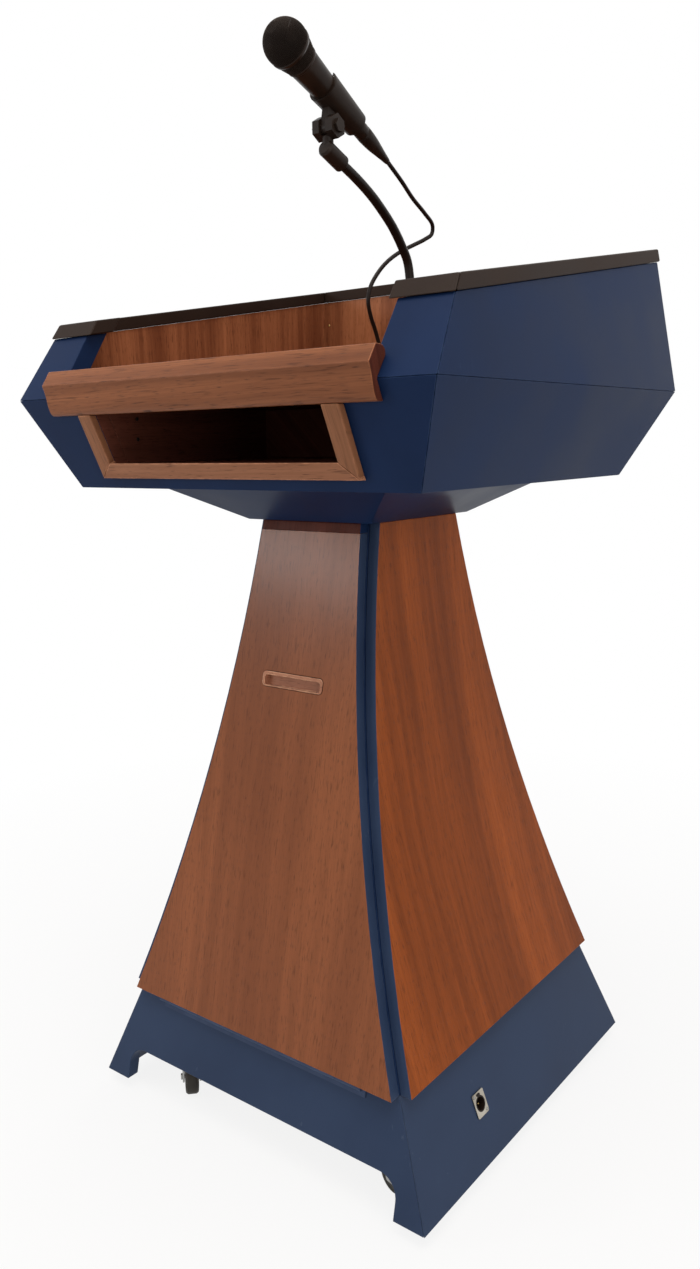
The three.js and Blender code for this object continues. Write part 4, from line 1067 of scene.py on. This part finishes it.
# %% Pull and hinge
eased("door_pull", pull_wood, 0.0007, 3)
pull_mesh = frame["nodes"]["door_pull"].data
pull_face = max(pull_mesh.polygons, key=lambda p: p.area * (p.normal.y < -0.7))
pull_low, pull_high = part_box("door_pull")
pull_front = facing((pull_low + pull_high) / 2, pull_face.normal)
reach_out = max((pull_front.inverted() @ v.co).z for v in pull_mesh.vertices)
half_wide, half_high = [
    max(abs((pull_front.inverted() @ v.co)[axis]) for v in pull_mesh.vertices) / MM for axis in (0, 1)]
SHADE_RING_WIDTH, SHADE_RING_UNDERLAP, PULL_PROUD, PULL_CORNER = 0.9, 0.5, 0.8, 6
door_skin = reach_out / MM - PULL_PROUD


def pull_outline(grow):
    return rounded_outline(2 * (half_wide + grow), 2 * (half_high + grow), PULL_CORNER + grow)


# The dark ring round the pull is painted shade, the shadow in the gap between pull and door.
painted_shade_ring = prism("door_pull_painted_shade_ring", pull_outline(SHADE_RING_WIDTH), door_skin - 0.4, door_skin + 0.12, pull_front)
inner = prism("inner", pull_outline(-SHADE_RING_UNDERLAP), door_skin - 1, door_skin + 1, pull_front)
stand_for(cut_away(painted_shade_ring, inner), "door_pull", pull_gap_painted_shade)
print("pull half size", round(half_wide, 1), round(half_high, 1))
eased("hinge_fixed_leaf", hinge_blue_painted_light, 0.0003)
eased("hinge_door_leaf", hinge_blue_painted_light, 0.0003)

# %% Connector on the plinth
eased("inlet_plate", nickel, 0.0004, 3)
eased("inlet_socket", black_plastic, 0.0003)
plate_low, plate_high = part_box("inlet_plate")
plinth_side = max(
    frame["nodes"]["plinth_right_board"].data.polygons, key=lambda p: p.area * (p.normal.x > 0.5))
side_normal = plinth_side.normal.copy()
plate_centre = (plate_low + plate_high) / 2 + side_normal * 0.0008
connector = facing(plate_centre, side_normal)
for number, (across, up) in enumerate(((-9.6, 12.2), (9.6, -12.2))):
    spot = connector @ Matrix.Translation(Vector((across, up, 0.2)) * MM)
    screw(f"inlet_screw_{number}", spot, 1.9, zinc_steel)
PIN_CIRCLE, PIN_RECESS = 4, 6.9
pin_profile = [(0, -9), (1.3, -9), (1.3, 0), (0.8, 0.7), (0, 0.9)]
for number, angle in enumerate((90, 210, 330)):
    along_circle = Matrix.Rotation(math.radians(angle), 3, "Z") @ Vector((PIN_CIRCLE, 0, 0))
    spot = connector @ Matrix.Translation((along_circle - Vector((0, 0, PIN_RECESS))) * MM)
    dress(turned_piece(f"inlet_pin_{number}", pin_profile, spot, 20), brass_pin, "root")
latch_place = connector @ Matrix.Translation((0, 0.0118, 0))
latch = prism("inlet_latch", rounded_outline(6.5, 3.0, 0.8), 0, 1.1, latch_place)
ease_edges(latch, 0.0003)
dress(latch, black_plastic, "root")
print("connector at", [round(v, 3) for v in plate_centre])

# %% [markdown]
# ## Screws in the compartment and the well
#
# Two dark screws hold the left side of the compartment, and a small brass one sits in each far corner of
# the well's lining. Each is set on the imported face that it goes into, found by its normal.

# %% Screws in the compartment and the well
left_inside = min((p for p in frame["nodes"]["storage_box"].data.polygons if p.normal.x > 0.7),
                  key=lambda p: abs(p.center.x - box_low.x - BOX_WALL))
BOX_SCREW_DEPTH, BOX_SCREW_HEIGHTS = 0.055, (0.042, 0.068)
for number, up in enumerate(BOX_SCREW_HEIGHTS):
    place = Vector((left_inside.center.x, box_low.y + BOX_SCREW_DEPTH, box_low.z + up))
    screw(f"box_screw_{number}", facing(place, Vector((1, 0, 0))), 2.6, black_plastic)
lining = frame["nodes"]["well_lining"].data
far_wall = max(lining.polygons, key=lambda p: p.area * (p.normal.y < -0.7))
top_of_wall = max(lining.vertices[i].co.z for i in far_wall.vertices)
LINING_SCREW_OUT, LINING_SCREW_DOWN = 0.269, 0.037
for number, across in enumerate((-LINING_SCREW_OUT, LINING_SCREW_OUT)):
    at_z = top_of_wall - LINING_SCREW_DOWN
    at_y = far_wall.center.y - (at_z - far_wall.center.z) * far_wall.normal.z / far_wall.normal.y
    spot = facing(Vector((across, at_y, at_z)), far_wall.normal)
    screw(f"lining_screw_{number}", spot, 2.0, brass_pin)
print("screws at", round(left_inside.center.x, 3), round(far_wall.center.y, 3), round(top_of_wall, 3))

# %% [markdown]
# ## Casters
#
# A plate, a fork bent from zinc plated steel and a wheel with a grey rubber tread on a plastic hub. Tread
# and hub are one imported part, so the faces near the axle get the hub's finish. Each axle end gets a nut.

# %% Casters
CORNERS = ("speaker_left", "speaker_right", "audience_left", "audience_right")
HUB_SHARE = 0.8
AXLE_END, NUT_RADIUS, NUT_HEIGHT = 0.0138, 4.6, 2.4
sixths = [math.pi / 3 * k for k in range(6)]
hexagon = [(NUT_RADIUS * math.cos(a), NUT_RADIUS * math.sin(a)) for a in sixths]
for corner in CORNERS:
    for kind in ("plate", "fork"):
        eased(f"caster_{kind}_{corner}", zinc_steel, 0.0005)
    wheel = eased(f"caster_wheel_{corner}", tyre_rubber, 0.0004)
    axle = Vector(joints[f"roll_{corner}"]["pos_m"])
    axle_way = Vector(joints[f"roll_{corner}"]["axis"])

    def near_axle(centre, normal):
        return (centre - axle).cross(axle_way).length < axle.z * HUB_SHARE

    finish_faces(wheel, hub_plastic, near_axle)
    for side in (-1, 1):
        end = facing(axle + axle_way * side * AXLE_END, axle_way * side)
        nut = prism(f"axle_nut_{corner}_{'inner' if side < 0 else 'outer'}", hexagon, 0, NUT_HEIGHT, end)
        ease_edges(nut, 0.0004)
        dress(nut, zinc_steel, f"swivel_{corner}")
print("casters", len(CORNERS))
